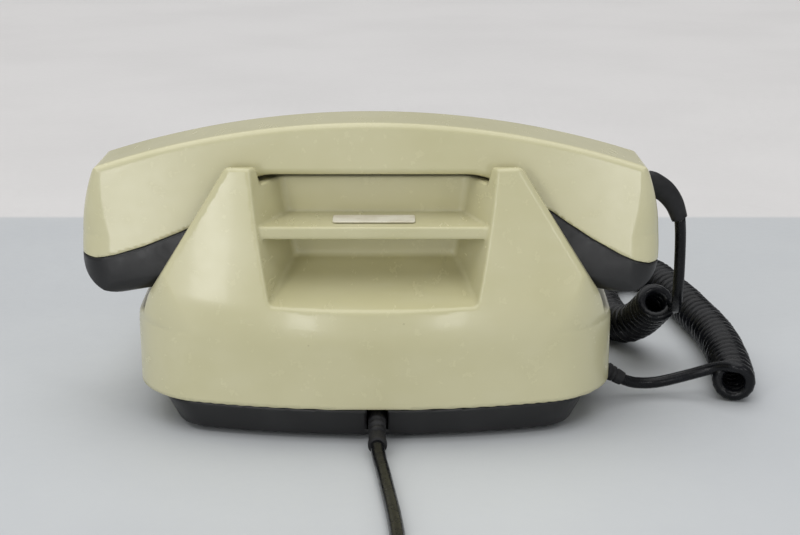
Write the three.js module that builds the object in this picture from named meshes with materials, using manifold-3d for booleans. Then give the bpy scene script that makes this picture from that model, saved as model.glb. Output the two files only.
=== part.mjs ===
// Desk telephone with a rotary dial, a lift-off handset and a shelf niche in its back.
// Millimetres, +Z up. The origin is on the table under the middle of the body.
// +X is the user's right, -Y the dial side, +Y the back. Group `export default` holds one mesh per piece.

import * as THREE from 'three';
import { ConvexGeometry } from 'three/addons/geometries/ConvexGeometry.js';
import { mergeVertices } from 'three/addons/utils/BufferGeometryUtils.js';
import Module from 'manifold-3d';

const wasm = await Module();
wasm.setup();

// ---------- driving dimensions ----------

const GAP = 0.3; // clearance between pieces that touch
const WALL = 3; // moulded wall of the body

const BODY = {
  halfWidth: 96, // widest, 43 above the table
  halfDepth: 97,
  bottom: 14, // lower edge of the shell
  shoulder: 42, // where the sides start to lean in
  top: 103, // tips of the horns
  plateau: 95.9, // ridge under the handset's grip
  endRadius: 265, // bulge of the front and back walls, in plan
  bulgeSteps: 8,
  sideRadius: 900, // bulge of the side walls, in plan
  cornerRadius: 20,
};
const TROUGH = { front: 23.5, back: 70.5, ledge: 47 }; // the handset's bed, across the whole width
const NICHE = {
  back: 55,
  halfWidth: 34.8, // at the back of the shelf
  shelfTop: 81.6,
  shelfThick: 4.8,
  shelfEdge: 80.5,
  floorBack: 63.7, // height of the carrying recess's floor at its back, and at the mouth
  floorFront: 48.4,
  mouth: 110,
};
// The base plate is set in under the shell: at its top and bottom edges, front and back, and at the sides.
const BASE = { bottom: 2, wall: 2.4, endTop: 1.4, endBottom: 4.8, sideTop: 11, sideBottom: 17, footRadius: 9 };
const RIM = { end: 8, side: 14, thick: 3 }; // inward lip round the body's open underside

const SLOPE = 35 * Math.PI / 180; // dial face, from the horizontal
const SLOPE_START = { y: -90, z: 34 }; // its lower end
const DIAL = {
  upSlope: 57, // from the slope's lower end to the dial's centre
  ringRadius: 46,
  wheelRadius: 38,
  wheelThick: 2.4,
  wheelLift: 5.2, // underside of the finger wheel above the case
  holeRadius: 6.2,
  holeCircle: 28.6,
  holes: 10,
  pitch: Math.PI / 6,
  firstHole: Math.PI / 6, // digit 1
  stopAngle: -Math.PI / 6,
  shaftRadius: 3,
};

const HANDSET = {
  x: 1.5, // it lies a little to one side in its bed
  y: 47, // centre line
  halfLength: 114.5,
  top: 118,
  endTop: 102, // top of the two ends
  capBottom: 50.8,
  gripUnder: 98,
  topHalfWidth: 14.5,
  capHalfWidth: 22.2,
  wall: 2.6,
};
const PLUNGER = { x: 34, y: 37, radius: 3, bottom: 80.2, top: 97 };
const GONG = { x: 31, y: 62, radius: 23, bottom: 29, height: 14 };
const SCREW_X = 72; // case screws, each side of the middle
const CHASSIS_TOP = 6.3;
const CORD_WAY = { y: 48.3, half: 4.6, bottom: 10, top: 19.4 }; // opening for the handset cord, in the body's side

const CORD = { handsetWire: 4.7, curlRadius: 9.1, curlZ: 9.15, lineWire: 5.4 };
const LINE_WAY = { x: -1.3, half: 3.9, bottom: 4.5 }; // opening for the line cord, in the base's back wall

// ---------- materials ----------

const paint = (color, roughness, metalness = 0) =>
  () => new THREE.MeshStandardMaterial({ color, roughness, metalness });
const ivory = paint(0xb9b48f, 0.35);
const black = paint(0x29292b, 0.4);
const blackGloss = paint(0x141518, 0.22);
const rubber = paint(0x1c1c1c, 0.85);
const steel = paint(0xa8aaad, 0.4, 0.9);
const brass = paint(0xb5904a, 0.35, 0.9);
const copper = paint(0x9a5a34, 0.45, 0.7);
const phenolic = paint(0x4a3222, 0.6);
const clear = paint(0xe8ecee, 0.08);
const paper = paint(0xdedccb, 0.8);
const blueFilm = paint(0x3a5f8f, 0.4);

// ---------- solids ----------

function solid(geometry) {
  const bare = geometry.index ? geometry.toNonIndexed() : geometry.clone();
  bare.deleteAttribute('normal');
  bare.deleteAttribute('uv');
  const merged = mergeVertices(bare, 1e-4);
  const mesh = new wasm.Mesh({
    numProp: 3,
    vertProperties: new Float32Array(merged.attributes.position.array),
    triVerts: new Uint32Array(merged.index.array),
  });
  return new wasm.Manifold(mesh);
}

function geometryOf(body) {
  const mesh = body.getMesh();
  const geometry = new THREE.BufferGeometry();
  geometry.setAttribute('position', new THREE.BufferAttribute(mesh.vertProperties, 3));
  geometry.setIndex(new THREE.BufferAttribute(mesh.triVerts, 1));
  return geometry;
}

const cut = (body, ...tools) => tools.reduce((left, tool) => left.subtract(tool), body);
const join = (body, ...others) => others.reduce((all, other) => all.add(other), body);
const common = (body, ...others) => others.reduce((all, other) => all.intersect(other), body);

// Outline in X and Y, extruded from z0 up to z1.
function alongZ(shape, z0, z1, curveSegments = 12) {
  const geometry = new THREE.ExtrudeGeometry(shape, { depth: z1 - z0, bevelEnabled: false, curveSegments });
  return geometry.translate(0, 0, z0);
}

// Outline in X and Z, extruded from y0 to y1.
function alongY(shape, y0, y1, curveSegments = 12) {
  return alongZ(shape, -y1, -y0, curveSegments).rotateX(Math.PI / 2);
}

// Turns an outline drawn in X and Y, and extruded along Z, to lie in Y and Z along X.
const AXES_TO_X = new THREE.Matrix4().makeBasis(
  new THREE.Vector3(0, 1, 0), new THREE.Vector3(0, 0, 1), new THREE.Vector3(1, 0, 0));

// Outline in Y and Z, extruded from x0 to x1.
function alongX(shape, x0, x1, curveSegments = 12) {
  return alongZ(shape, x0, x1, curveSegments).applyMatrix4(AXES_TO_X);
}

const polygon = (points) => new THREE.Shape(points.map(([x, y]) => new THREE.Vector2(x, y)));

function box(x0, x1, y0, y1, z0, z1) {
  const geometry = new THREE.BoxGeometry(x1 - x0, y1 - y0, z1 - z0);
  return geometry.translate((x0 + x1) / 2, (y0 + y1) / 2, (z0 + z1) / 2);
}

// Round bar or disc with its axis along Z.
function rod(radius, z0, z1, x = 0, y = 0, sides = 24) {
  const geometry = new THREE.CylinderGeometry(radius, radius, z1 - z0, sides);
  return geometry.rotateX(Math.PI / 2).translate(x, y, (z0 + z1) / 2);
}

// Turned piece: profile points are [radius, z].
function turned(points, segments = 32) {
  const profile = points.map(([r, z]) => new THREE.Vector2(r, z));
  return new THREE.LatheGeometry(profile, segments).rotateX(Math.PI / 2);
}

const hull = (points) => new ConvexGeometry(points.map(([x, y, z]) => new THREE.Vector3(x, y, z)));

// Rounds the corners of a closed polygon: points are [x, y, radius].
function rounded(points) {
  const shape = new THREE.Shape();
  points.forEach(([x, y, radius = 0], i) => {
    const [px, py] = points[(i + points.length - 1) % points.length];
    const [nx, ny] = points[(i + 1) % points.length];
    const corner = new THREE.Vector2(x, y);
    const before = new THREE.Vector2(px, py).sub(corner).normalize();
    const after = new THREE.Vector2(nx, ny).sub(corner).normalize();
    const reach = radius / Math.tan(Math.acos(THREE.MathUtils.clamp(before.dot(after), -1, 1)) / 2);
    const start = corner.clone().addScaledVector(before, reach);
    const end = corner.clone().addScaledVector(after, reach);
    if (i === 0) shape.moveTo(start.x, start.y);
    else shape.lineTo(start.x, start.y);
    if (radius > 0) shape.quadraticCurveTo(x, y, end.x, end.y);
  });
  shape.closePath();
  return shape;
}

const mirrored = (half) => [...half, ...half.map(([x, z, r]) => [-x, z, r]).reverse()];

const group = new THREE.Group();

function place(name, shape, material, parent = group) {
  const geometry = shape.isBufferGeometry ? shape : geometryOf(shape);
  const mesh = new THREE.Mesh(geometry, material());
  mesh.name = name;
  parent.add(mesh);
  return mesh;
}

// ---------- body ----------

// Plan outline of the body: four bulging sides with rounded corners, moved in by `inset`.
function planOutline(inset) {
  const r = BODY.cornerRadius - inset;
  const endCentre = BODY.halfDepth - BODY.endRadius;
  const sideCentre = BODY.halfWidth - BODY.sideRadius;
  const endReach = BODY.endRadius - inset;
  const sideReach = BODY.sideRadius - inset;
  let cornerX = BODY.halfWidth - BODY.cornerRadius;
  let cornerY = BODY.halfDepth - BODY.cornerRadius;
  for (let i = 0; i < 30; i += 1) {
    cornerY = endCentre + Math.sqrt((endReach - r) ** 2 - cornerX ** 2);
    cornerX = sideCentre + Math.sqrt((sideReach - r) ** 2 - cornerY ** 2);
  }
  const endAngle = Math.atan2(cornerY - endCentre, cornerX);
  const sideAngle = Math.atan2(cornerY, cornerX - sideCentre);
  const shape = new THREE.Shape();
  shape.absarc(sideCentre, 0, sideReach, -sideAngle, sideAngle);
  shape.absarc(cornerX, cornerY, r, sideAngle, endAngle);
  shape.absarc(0, endCentre, endReach, endAngle, Math.PI - endAngle);
  shape.absarc(-cornerX, cornerY, r, Math.PI - endAngle, Math.PI - sideAngle);
  shape.absarc(-sideCentre, 0, sideReach, Math.PI - sideAngle, Math.PI + sideAngle);
  shape.absarc(-cornerX, -cornerY, r, Math.PI + sideAngle, Math.PI + endAngle);
  shape.absarc(0, -endCentre, endReach, Math.PI + endAngle, 2 * Math.PI - endAngle);
  shape.absarc(cornerX, -cornerY, r, -endAngle, -sideAngle);
  shape.closePath();
  return shape;
}

// Outline seen from the back: upright sides, shoulders leaning in, a horn at each side of the ridge.
function backOutline(inset) {
  return rounded(mirrored([
    [BODY.halfWidth - 4 - inset, BODY.bottom, 0],
    [BODY.halfWidth - inset, BODY.bottom + 8, 6],
    [BODY.halfWidth - inset, BODY.shoulder, 14],
    [57.5 - inset, BODY.top - inset, 6],
    [48, BODY.top - inset, 2],
    [46.5, BODY.plateau - inset, 1],
  ]));
}

// Outline seen from the side: leaning back wall, horns, dial slope, low front.
function sideOutline(inset) {
  const run = (BODY.top - SLOPE_START.z) / Math.tan(SLOPE);
  const shift = inset / Math.sin(SLOPE); // moves the slope in by the inset, measured along Y
  return rounded([
    [-BODY.halfDepth + 3 + inset, BODY.bottom, 0],
    [-BODY.halfDepth + inset, BODY.bottom + 7, 5],
    [-BODY.halfDepth + inset, SLOPE_START.z - 5, 8],
    [SLOPE_START.y + run + shift, BODY.top - inset, 5],
    [79.5 - inset, BODY.top - inset, 4],
    [95 - inset, 50, 12],
    [BODY.halfDepth - inset, 30, 10],
    [BODY.halfDepth - inset, BODY.bottom + 7, 5],
    [BODY.halfDepth - 3 - inset, BODY.bottom, 0],
  ]);
}

// The side outline carried across the body, drawn in towards the corners so that both ends bulge in plan.
function bulgedSide(inset) {
  const shape = sideOutline(inset);
  const width = 2 * (BODY.halfWidth + 4);
  const geometry = new THREE.ExtrudeGeometry(
    shape, { depth: width, steps: BODY.bulgeSteps, bevelEnabled: false, curveSegments: 3 });
  geometry.translate(0, 0, -width / 2);
  geometry.applyMatrix4(AXES_TO_X);
  const position = geometry.attributes.position;
  for (let i = 0; i < position.count; i += 1) {
    const x = position.getX(i);
    const bulge = BODY.endRadius - Math.sqrt(BODY.endRadius ** 2 - x ** 2);
    position.setY(i, position.getY(i) * (1 - bulge / BODY.halfDepth));
  }
  return solid(geometry);
}

function bodyBlock(inset) {
  const plan = solid(alongZ(planOutline(inset), BODY.bottom - 1, BODY.top + 1, 4));
  const back = solid(alongY(backOutline(inset), -120, 120, 3));
  return common(plan, back, bulgedSide(inset));
}

// The space the handset lies in. It is grown by `extra` to leave a wall under it.
function troughSpace(extra) {
  const outline = rounded(mirrored([
    [130, BODY.top + 20, 0],
    [130, TROUGH.ledge - 4 - extra, 0],
    [92, TROUGH.ledge - 1.5 - extra, 0],
    [60.5 - extra, TROUGH.ledge + 4 - extra, 2],
    [57 - extra, 76, 6],
    [51 - extra, 91 - extra, 5],
    [42, BODY.plateau - extra, 3],
  ]));
  return solid(alongY(outline, TROUGH.front - extra, TROUGH.back + extra, 4));
}

// Half width of the niche, which narrows towards its back wall and towards the table.
function nicheHalf(y, z) {
  const above = z - NICHE.shelfTop;
  const out = y - NICHE.back;
  return NICHE.halfWidth + 0.155 * above + (0.35 + 0.0039 * above) * out;
}

// The whole niche, from its sloping floor up through the top of the body, grown by `extra`.
function nicheBlock(extra) {
  const geometry = new THREE.BoxGeometry(2, 1, 1, 1, 4, 4).translate(0, 0.5, 0.5);
  const position = geometry.attributes.position;
  const { lerp } = THREE.MathUtils;
  for (let i = 0; i < position.count; i += 1) {
    const out = position.getY(i);
    const floor = lerp(NICHE.floorBack, NICHE.floorFront, out) - extra;
    const y = lerp(NICHE.back - extra, NICHE.mouth, out);
    const z = lerp(floor, BODY.top + 12, position.getZ(i));
    position.setXYZ(i, position.getX(i) * (nicheHalf(y, z) + extra), y, z);
  }
  return solid(geometry);
}

// The niche with its shelf left standing, which leaves a carrying recess under it.
function nicheSpace() {
  const { back, shelfEdge, shelfTop, shelfThick } = NICHE;
  return cut(nicheBlock(0), solid(box(-60, 60, back - 5, shelfEdge, shelfTop - shelfThick, shelfTop)));
}

const dialCentre = new THREE.Vector3(
  0,
  SLOPE_START.y + DIAL.upSlope * Math.cos(SLOPE),
  SLOPE_START.z + DIAL.upSlope * Math.sin(SLOPE),
);

// Moves a piece drawn on the dial's own axes (Z out of the dial face) to its place in the body.
function onDial(geometry) {
  return geometry.rotateX(SLOPE).translate(dialCentre.x, dialCentre.y, dialCentre.z);
}

// The body's plan outline at a height, set in by `end` at the front and back and by `side` at the sides.
function outlineAt(end, side, z) {
  const narrowing = (BODY.halfWidth - side) / (BODY.halfWidth - end);
  return planOutline(end).getPoints(4).map((point) => [point.x * narrowing, point.y, z]);
}

const taper = (endLow, sideLow, low, endHigh, sideHigh, high) =>
  solid(hull([...outlineAt(endLow, sideLow, low), ...outlineAt(endHigh, sideHigh, high)]));

// Opening for the handset cord, through the side walls of the body and the base.
const cordWay = () =>
  solid(box(-104, -70, CORD_WAY.y - CORD_WAY.half, CORD_WAY.y + CORD_WAY.half, CORD_WAY.bottom, CORD_WAY.top));

function bodyShell() {
  const reach = 120; // beyond the body on every side
  const cavity = cut(bodyBlock(WALL), troughSpace(WALL), nicheBlock(WALL),
    solid(box(-reach, reach, -reach, reach, BODY.plateau - WALL, reach)),
    solid(box(-reach, reach, -reach, reach, 0, BODY.bottom + RIM.thick)));
  const mouth = taper(RIM.end, RIM.side, BODY.bottom - 1, RIM.end, RIM.side, BODY.bottom + RIM.thick + 1);
  const dialHole = solid(onDial(rod(DIAL.ringRadius - 5, -12, 12, 0, 0, 40)));
  const plungerHoles = [-1, 1].map((side) =>
    solid(rod(PLUNGER.radius + 0.4, BODY.plateau - 10, BODY.plateau + 10, side * PLUNGER.x, PLUNGER.y, 16)));
  const trimmed = common(bodyBlock(0), solid(box(-reach, reach, -reach, reach, BODY.bottom, BODY.top + 1)));
  const hollow = cut(trimmed, troughSpace(0), nicheSpace(), cavity, mouth, dialHole, ...plungerHoles);
  const posts = [-1, 1].map((side) =>
    common(solid(rod(4.5, BODY.bottom, BODY.top, side * SCREW_X, 0, 16)), bodyBlock(1)));
  const threads = [-1, 1].map((side) => solid(rod(1.9, 0, 26, side * SCREW_X, 0, 12)));
  return cut(join(hollow, ...posts), cordWay(), ...threads);
}

place('body_shell', bodyShell(), ivory);
place('shelf_label', box(-15.8, 15.8, 64.4, 74.7, NICHE.shelfTop + GAP, NICHE.shelfTop + GAP + 0.6), paper);

// ---------- base ----------

// Tapered tray under the shell, with openings for the line cord at the back and the handset cord at the side.
function basePlate() {
  const top = BODY.bottom - GAP;
  const { bottom, wall, endTop, endBottom, sideTop, sideBottom } = BASE;
  const outer = taper(endBottom, sideBottom, bottom, endTop, sideTop, top);
  const inner = taper(endBottom + wall, sideBottom + wall, bottom + wall, endTop + wall, sideTop + wall, top + 2);
  const { x, half } = LINE_WAY;
  const lineWay = solid(box(x - half, x + half, 70, 100, LINE_WAY.bottom, top + 5));
  const screwHoles = [-1, 1].map((side) => solid(rod(2, 0, 10, side * SCREW_X, 0, 12)));
  return cut(outer, inner, lineWay, cordWay(), ...screwHoles);
}

place('base_plate', basePlate(), black);

const footTop = BASE.bottom - GAP;
const footProfile = [[0, 0], [BASE.footRadius, 0], [BASE.footRadius + 0.6, footTop], [0, footTop]];
for (const [name, x, y] of [
  ['foot_front_right', 1, -1], ['foot_front_left', -1, -1], ['foot_back_right', 1, 1], ['foot_back_left', -1, 1],
]) {
  place(name, turned(footProfile, 20).translate(x * 62, y * 64, 0), rubber);
}

for (const [name, side] of [['case_screw_right', 1], ['case_screw_left', -1]]) {
  const profile = [[0, 0.5], [3.2, 0.5], [3.6, footTop], [1.5, footTop], [1.5, 24], [0, 25.5]];
  place(name, turned(profile, 12).translate(side * SCREW_X, 0, 0), steel);
}

const chassisOutline = rounded([[66, -74, 6], [66, 72, 6], [-66, 72, 6], [-66, -74, 6]]);
place('chassis_plate', alongZ(chassisOutline, 4.8, CHASSIS_TOP, 3), steel);

const onChassis = CHASSIS_TOP + GAP;

function terminalBlock() {
  const ridges = [28, 35, 42, 49, 56].map((x) => solid(box(x, x + 2, 22, 36, onChassis + 5, onChassis + 11)));
  return join(solid(box(28, 58, 20, 38, onChassis, onChassis + 6)), ...ridges);
}

function inductionCoil() {
  const bobbin = [[12, -11, -9], [8, -9, 9], [12, 9, 11]].map(([half, x0, x1]) =>
    solid(box(-half, half, x0, x1, -half, half)));
  const feet = solid(box(-12, 12, -11, 11, -14, -11.5));
  return join(...bobbin, feet).translate([46, 0, onChassis + 14]);
}

place('terminal_block', terminalBlock(), phenolic);
place('induction_coil', inductionCoil(), copper);
place('capacitor', rod(9, -8, 32, -46, -(onChassis + 9), 20).rotateX(-Math.PI / 2), blueFilm);

// ---------- ringer ----------

const gongProfile = [
  [2.2, 14], [12, 14], [19, 11.5], [22.4, 6], [GONG.radius, 0], [GONG.radius - 1.6, 0],
  [20.8, 5.6], [18, 10.2], [12, 12.4], [2.2, 12.4], [2.2, 14],
].reverse();
const gongHub = GONG.bottom + 12.4;
const gongTop = GONG.bottom + GONG.height;

for (const [name, side] of [['right', 1], ['left', -1]]) {
  const x = side * GONG.x;
  place(`gong_${name}`, turned(gongProfile, 20).translate(x, GONG.y, GONG.bottom), brass);
  place(`gong_post_${name}`, rod(4, onChassis, gongHub - GAP, x, GONG.y, 14), steel);
  const screw = [
    [0, gongHub], [1.8, gongHub], [1.8, gongTop + GAP], [4, gongTop + GAP], [4, gongTop + 1.8], [0, gongTop + 2.4],
  ];
  place(`gong_screw_${name}`, turned(screw, 12).translate(x, GONG.y, 0), steel);
}

const COIL = { x: 11, z: 36, front: -0.7, back: 22, radius: 7.5, core: 2.6 };

function ringerYoke() {
  const plate = solid(box(-20, 20, -4, -1, onChassis, 46));
  const cores = [-1, 1].map((side) =>
    solid(rod(COIL.core, -24.5, 2, side * COIL.x, 0, 14).rotateX(Math.PI / 2).translate(0, 0, COIL.z)));
  return join(plate, ...cores);
}

function ringerCoil(side) {
  const profile = [
    [COIL.core + 0.4, 0], [COIL.radius + 1, 0], [COIL.radius + 1, 1.4], [COIL.radius, 1.4],
    [COIL.radius, 20.6], [COIL.radius + 1, 20.6], [COIL.radius + 1, 22], [COIL.core + 0.4, 22], [COIL.core + 0.4, 0],
  ];
  return turned(profile, 18).rotateX(-Math.PI / 2).translate(side * COIL.x, COIL.front, COIL.z);
}

const CLAPPER = { pivotY: 29.5, ballY: 60, ball: 3 };

function clapper() {
  const armature = solid(box(-17, 17, CLAPPER.pivotY - 1.5, CLAPPER.pivotY + 2.5, COIL.z - 4, COIL.z + 4));
  const eye = solid(rod(3.4, COIL.z - 4, COIL.z + 4, 0, CLAPPER.pivotY, 16));
  const arm = solid(box(-0.9, 0.9, CLAPPER.pivotY + 1.2, CLAPPER.ballY, COIL.z - 1, COIL.z + 1));
  const ball = solid(new THREE.SphereGeometry(CLAPPER.ball, 14, 10).translate(0, CLAPPER.ballY, COIL.z));
  return cut(join(armature, eye, arm, ball), solid(rod(1.9, 0, 60, 0, CLAPPER.pivotY, 16)));
}

place('ringer_yoke', ringerYoke(), steel);
place('ringer_coil_right', ringerCoil(1), copper);
place('ringer_coil_left', ringerCoil(-1), copper);
place('clapper_pivot', rod(1.5, onChassis, 42, 0, CLAPPER.pivotY, 12), steel);
place('clapper', clapper(), steel);

// ---------- hook switch ----------

const HOOK = { y: 15, z: 74.5, pin: 1.5, ear: 22, bracket: 25, armTop: 79.7, armEnd: 41 };

function hookBracket() {
  const legs = [-1, 1].map((side) =>
    solid(box(side * HOOK.bracket - 0.8, side * HOOK.bracket + 0.8, 9, 21, onChassis, HOOK.z + 1.9)));
  const bridge = solid(box(-HOOK.bracket, HOOK.bracket, 9, 21, 46, 47.6));
  const pinHole = solid(alongX(circle(HOOK.pin + 0.3, HOOK.y, HOOK.z), -40, 40));
  return cut(join(...legs, bridge), pinHole);
}

function circle(radius, x, y) {
  const shape = new THREE.Shape();
  shape.absarc(x, y, radius, 0, 2 * Math.PI);
  return shape;
}

function hookLever() {
  const bar = solid(box(-38, 38, 12, 18, HOOK.armTop - 1.4, HOOK.armTop));
  const arms = [-1, 1].map((side) =>
    solid(box(side * PLUNGER.x - 4, side * PLUNGER.x + 4, 17, HOOK.armEnd, HOOK.armTop - 1.4, HOOK.armTop)));
  const ears = [-1, 1].map((side) =>
    solid(box(side * HOOK.ear - 1, side * HOOK.ear + 1, 12, 18, HOOK.z - 3, HOOK.armTop - 1)));
  const pinHole = solid(alongX(circle(HOOK.pin + 0.4, HOOK.y, HOOK.z), -40, 40));
  return cut(join(bar, ...arms, ...ears), pinHole);
}

function hookContacts() {
  const block = solid(box(-7, 7, 9, 19, 47.9, 61));
  const leaves = [50, 54, 58].map((z) => solid(box(-5, 5, 18, 42, z, z + 0.8)));
  return join(block, ...leaves);
}

// A tube of round section along a curve through the given points.
function tube(points, radius, steps, sides = 8) {
  const curve = new THREE.CatmullRomCurve3(points.map(([x, y, z]) => new THREE.Vector3(x, y, z)));
  const section = new THREE.Shape();
  for (let i = 0; i < sides; i += 1) {
    const angle = 2 * Math.PI * (i + 0.5) / sides;
    const x = radius * Math.cos(angle);
    const y = radius * Math.sin(angle);
    if (i === 0) section.moveTo(x, y);
    else section.lineTo(x, y);
  }
  section.closePath();
  return new THREE.ExtrudeGeometry(section, { extrudePath: curve, steps, bevelEnabled: false });
}

function hookSpring() {
  const turns = 5;
  const stepsPerTurn = 8;
  const points = [];
  for (let i = 0; i <= turns * stepsPerTurn; i += 1) {
    const angle = 2 * Math.PI * i / stepsPerTurn;
    points.push([-17 + 2 * i / stepsPerTurn, HOOK.y + 2.6 * Math.cos(angle), HOOK.z + 2.6 * Math.sin(angle)]);
  }
  return tube(points, 0.45, turns * stepsPerTurn, 4);
}

function plunger(side) {
  const profile = [
    [0, PLUNGER.bottom], [PLUNGER.radius, PLUNGER.bottom], [PLUNGER.radius, 82.6], [4.8, 82.6], [4.8, 84.2],
    [PLUNGER.radius, 84.2], [PLUNGER.radius, PLUNGER.top - 1], [PLUNGER.radius - 1, PLUNGER.top], [0, PLUNGER.top],
  ];
  return turned(profile, 16).translate(side * PLUNGER.x, PLUNGER.y, 0);
}

place('hook_bracket', hookBracket(), steel);
place('hook_pivot', alongX(circle(HOOK.pin, HOOK.y, HOOK.z), -28, 28, 6), steel);
place('hook_lever', hookLever(), steel);
place('hook_contacts', hookContacts(), phenolic);
place('hook_spring', hookSpring(), steel);
place('plunger_right', plunger(1), blackGloss);
place('plunger_left', plunger(-1), blackGloss);

// ---------- dial ----------

const dial = new THREE.Group();
dial.position.copy(dialCentre);
dial.rotation.x = SLOPE;
group.add(dial);

function numberRing() {
  const rim = DIAL.ringRadius;
  return turned([[8, 0.6], [rim, 0.6], [rim, 3.4], [rim - 2, 4.3], [rim - 4, 2.4], [8, 2.2], [8, 0.6]], 40);
}

function dialFrame() {
  const profile = [
    [3.4, -9], [5.5, -9], [5.5, -7], [38.5, -7], [38.5, 0.3], [36.5, 0.3],
    [36.5, -5.4], [5.5, -5.4], [5.5, -3], [3.4, -3], [3.4, -9],
  ];
  return turned(profile, 28);
}

function fingerWheel() {
  const low = DIAL.wheelLift;
  const top = low + DIAL.wheelThick;
  const rim = DIAL.wheelRadius;
  const disc = solid(turned([
    [3.3, 2.6], [7, 2.6], [7, low], [rim - 1, low], [rim, low + 0.8], [rim, top - 0.8], [rim - 1, top], [3.3, top], [3.3, 2.6],
  ], 40));
  const holes = [];
  for (let i = 0; i < DIAL.holes; i += 1) {
    const angle = DIAL.firstHole + i * DIAL.pitch;
    const x = DIAL.holeCircle * Math.cos(angle);
    const y = DIAL.holeCircle * Math.sin(angle);
    holes.push(solid(rod(DIAL.holeRadius, 0, 12, x, y, 14)));
  }
  return cut(disc, ...holes);
}

// Toothed disc on the dial's axis: each tooth is a flat top with two sloping flanks.
function gear(teeth, radius, depth, z0, z1, bore) {
  const shape = new THREE.Shape();
  for (let i = 0; i < teeth; i += 1) {
    for (const [share, r] of [[0, radius - depth], [0.3, radius - depth], [0.45, radius], [0.85, radius]]) {
      const angle = 2 * Math.PI * (i + share) / teeth;
      const [x, y] = [r * Math.cos(angle), r * Math.sin(angle)];
      if (i === 0 && share === 0) shape.moveTo(x, y);
      else shape.lineTo(x, y);
    }
  }
  shape.closePath();
  const hole = new THREE.Path();
  hole.absarc(0, 0, bore, 0, 2 * Math.PI, true);
  shape.holes.push(hole);
  return alongZ(shape, z0, z1, 6);
}

const CAM_POINTS = 40;

function pulseCam() {
  const shape = new THREE.Shape();
  const points = [];
  for (let i = 0; i < CAM_POINTS; i += 1) {
    const angle = 2 * Math.PI * i / CAM_POINTS;
    const r = 8 + 0.8 * Math.cos(10 * angle);
    points.push(new THREE.Vector2(r * Math.cos(angle), r * Math.sin(angle)));
  }
  shape.setFromPoints(points);
  const hole = new THREE.Path();
  hole.absarc(0, 0, DIAL.shaftRadius + GAP, 0, 2 * Math.PI, true);
  shape.holes.push(hole);
  return alongZ(shape, -17, -15, 6);
}

// Flat spiral strip round the shaft.
function mainspring() {
  const turns = 3;
  const steps = 14 * turns;
  const inner = [];
  const outer = [];
  for (let i = 0; i <= steps; i += 1) {
    const angle = 2 * Math.PI * turns * i / steps;
    const r = 4.2 + 7 * i / steps;
    inner.push(new THREE.Vector2(r * Math.cos(angle), r * Math.sin(angle)));
    outer.push(new THREE.Vector2((r + 0.7) * Math.cos(angle), (r + 0.7) * Math.sin(angle)));
  }
  return alongZ(new THREE.Shape([...inner, ...outer.reverse()]), -23, -19);
}

const GOVERNOR = { x: -17.5, y: -17.5 };

function governor() {
  const profile = [
    [0, -26], [1.5, -26], [1.5, -24], [9, -24], [9, -18], [1.5, -18], [1.5, -13.4], [3.4, -13.4], [3.4, -10.6],
    [1.5, -10.6], [1.5, -7.4], [0, -7.4],
  ];
  return turned(profile, 18).translate(GOVERNOR.x, GOVERNOR.y, 0);
}

function pulseContacts() {
  const leaves = [-16.8, -15.6].map((z) => solid(box(9.6, 19, -3, 3, z, z + 0.6)));
  return join(solid(box(18, 26, -5, 5, -19, -14)), ...leaves);
}

// A bent finger that reaches in over the wheel.
function fingerStop() {
  const foot = solid(box(DIAL.wheelRadius + 2, DIAL.ringRadius - 0.5, -3.5, 3.5, 4.7, 10.4));
  const finger = solid(box(DIAL.holeCircle - 3, DIAL.ringRadius - 0.5, -3.5, 3.5, 8.8, 10.4));
  return geometryOf(join(foot, finger)).rotateZ(DIAL.stopAngle);
}

place('number_ring', numberRing(), black, dial);
place('dial_frame', dialFrame(), phenolic, dial);
place('finger_stop', fingerStop(), steel, dial);
place('finger_wheel', fingerWheel(), clear, dial);
place('dial_shaft', rod(DIAL.shaftRadius, -25, 7.5, 0, 0, 18), steel, dial);
place('dial_card', rod(13, 7.9, 8.3, 0, 0, 28), paper, dial);
place('dial_card_cover', turned([[0, 8.6], [15.5, 8.6], [15, 9.8], [11, 10.6], [0, 10.9]], 28), clear, dial);
place('main_gear', gear(20, 20, 2.4, -13, -11, DIAL.shaftRadius + GAP), brass, dial);
place('pulse_cam', pulseCam(), phenolic, dial);
place('mainspring', mainspring(), steel, dial);
place('governor', governor(), brass, dial);
place('pulse_contacts', pulseContacts(), phenolic, dial);

// ---------- handset ----------

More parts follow.
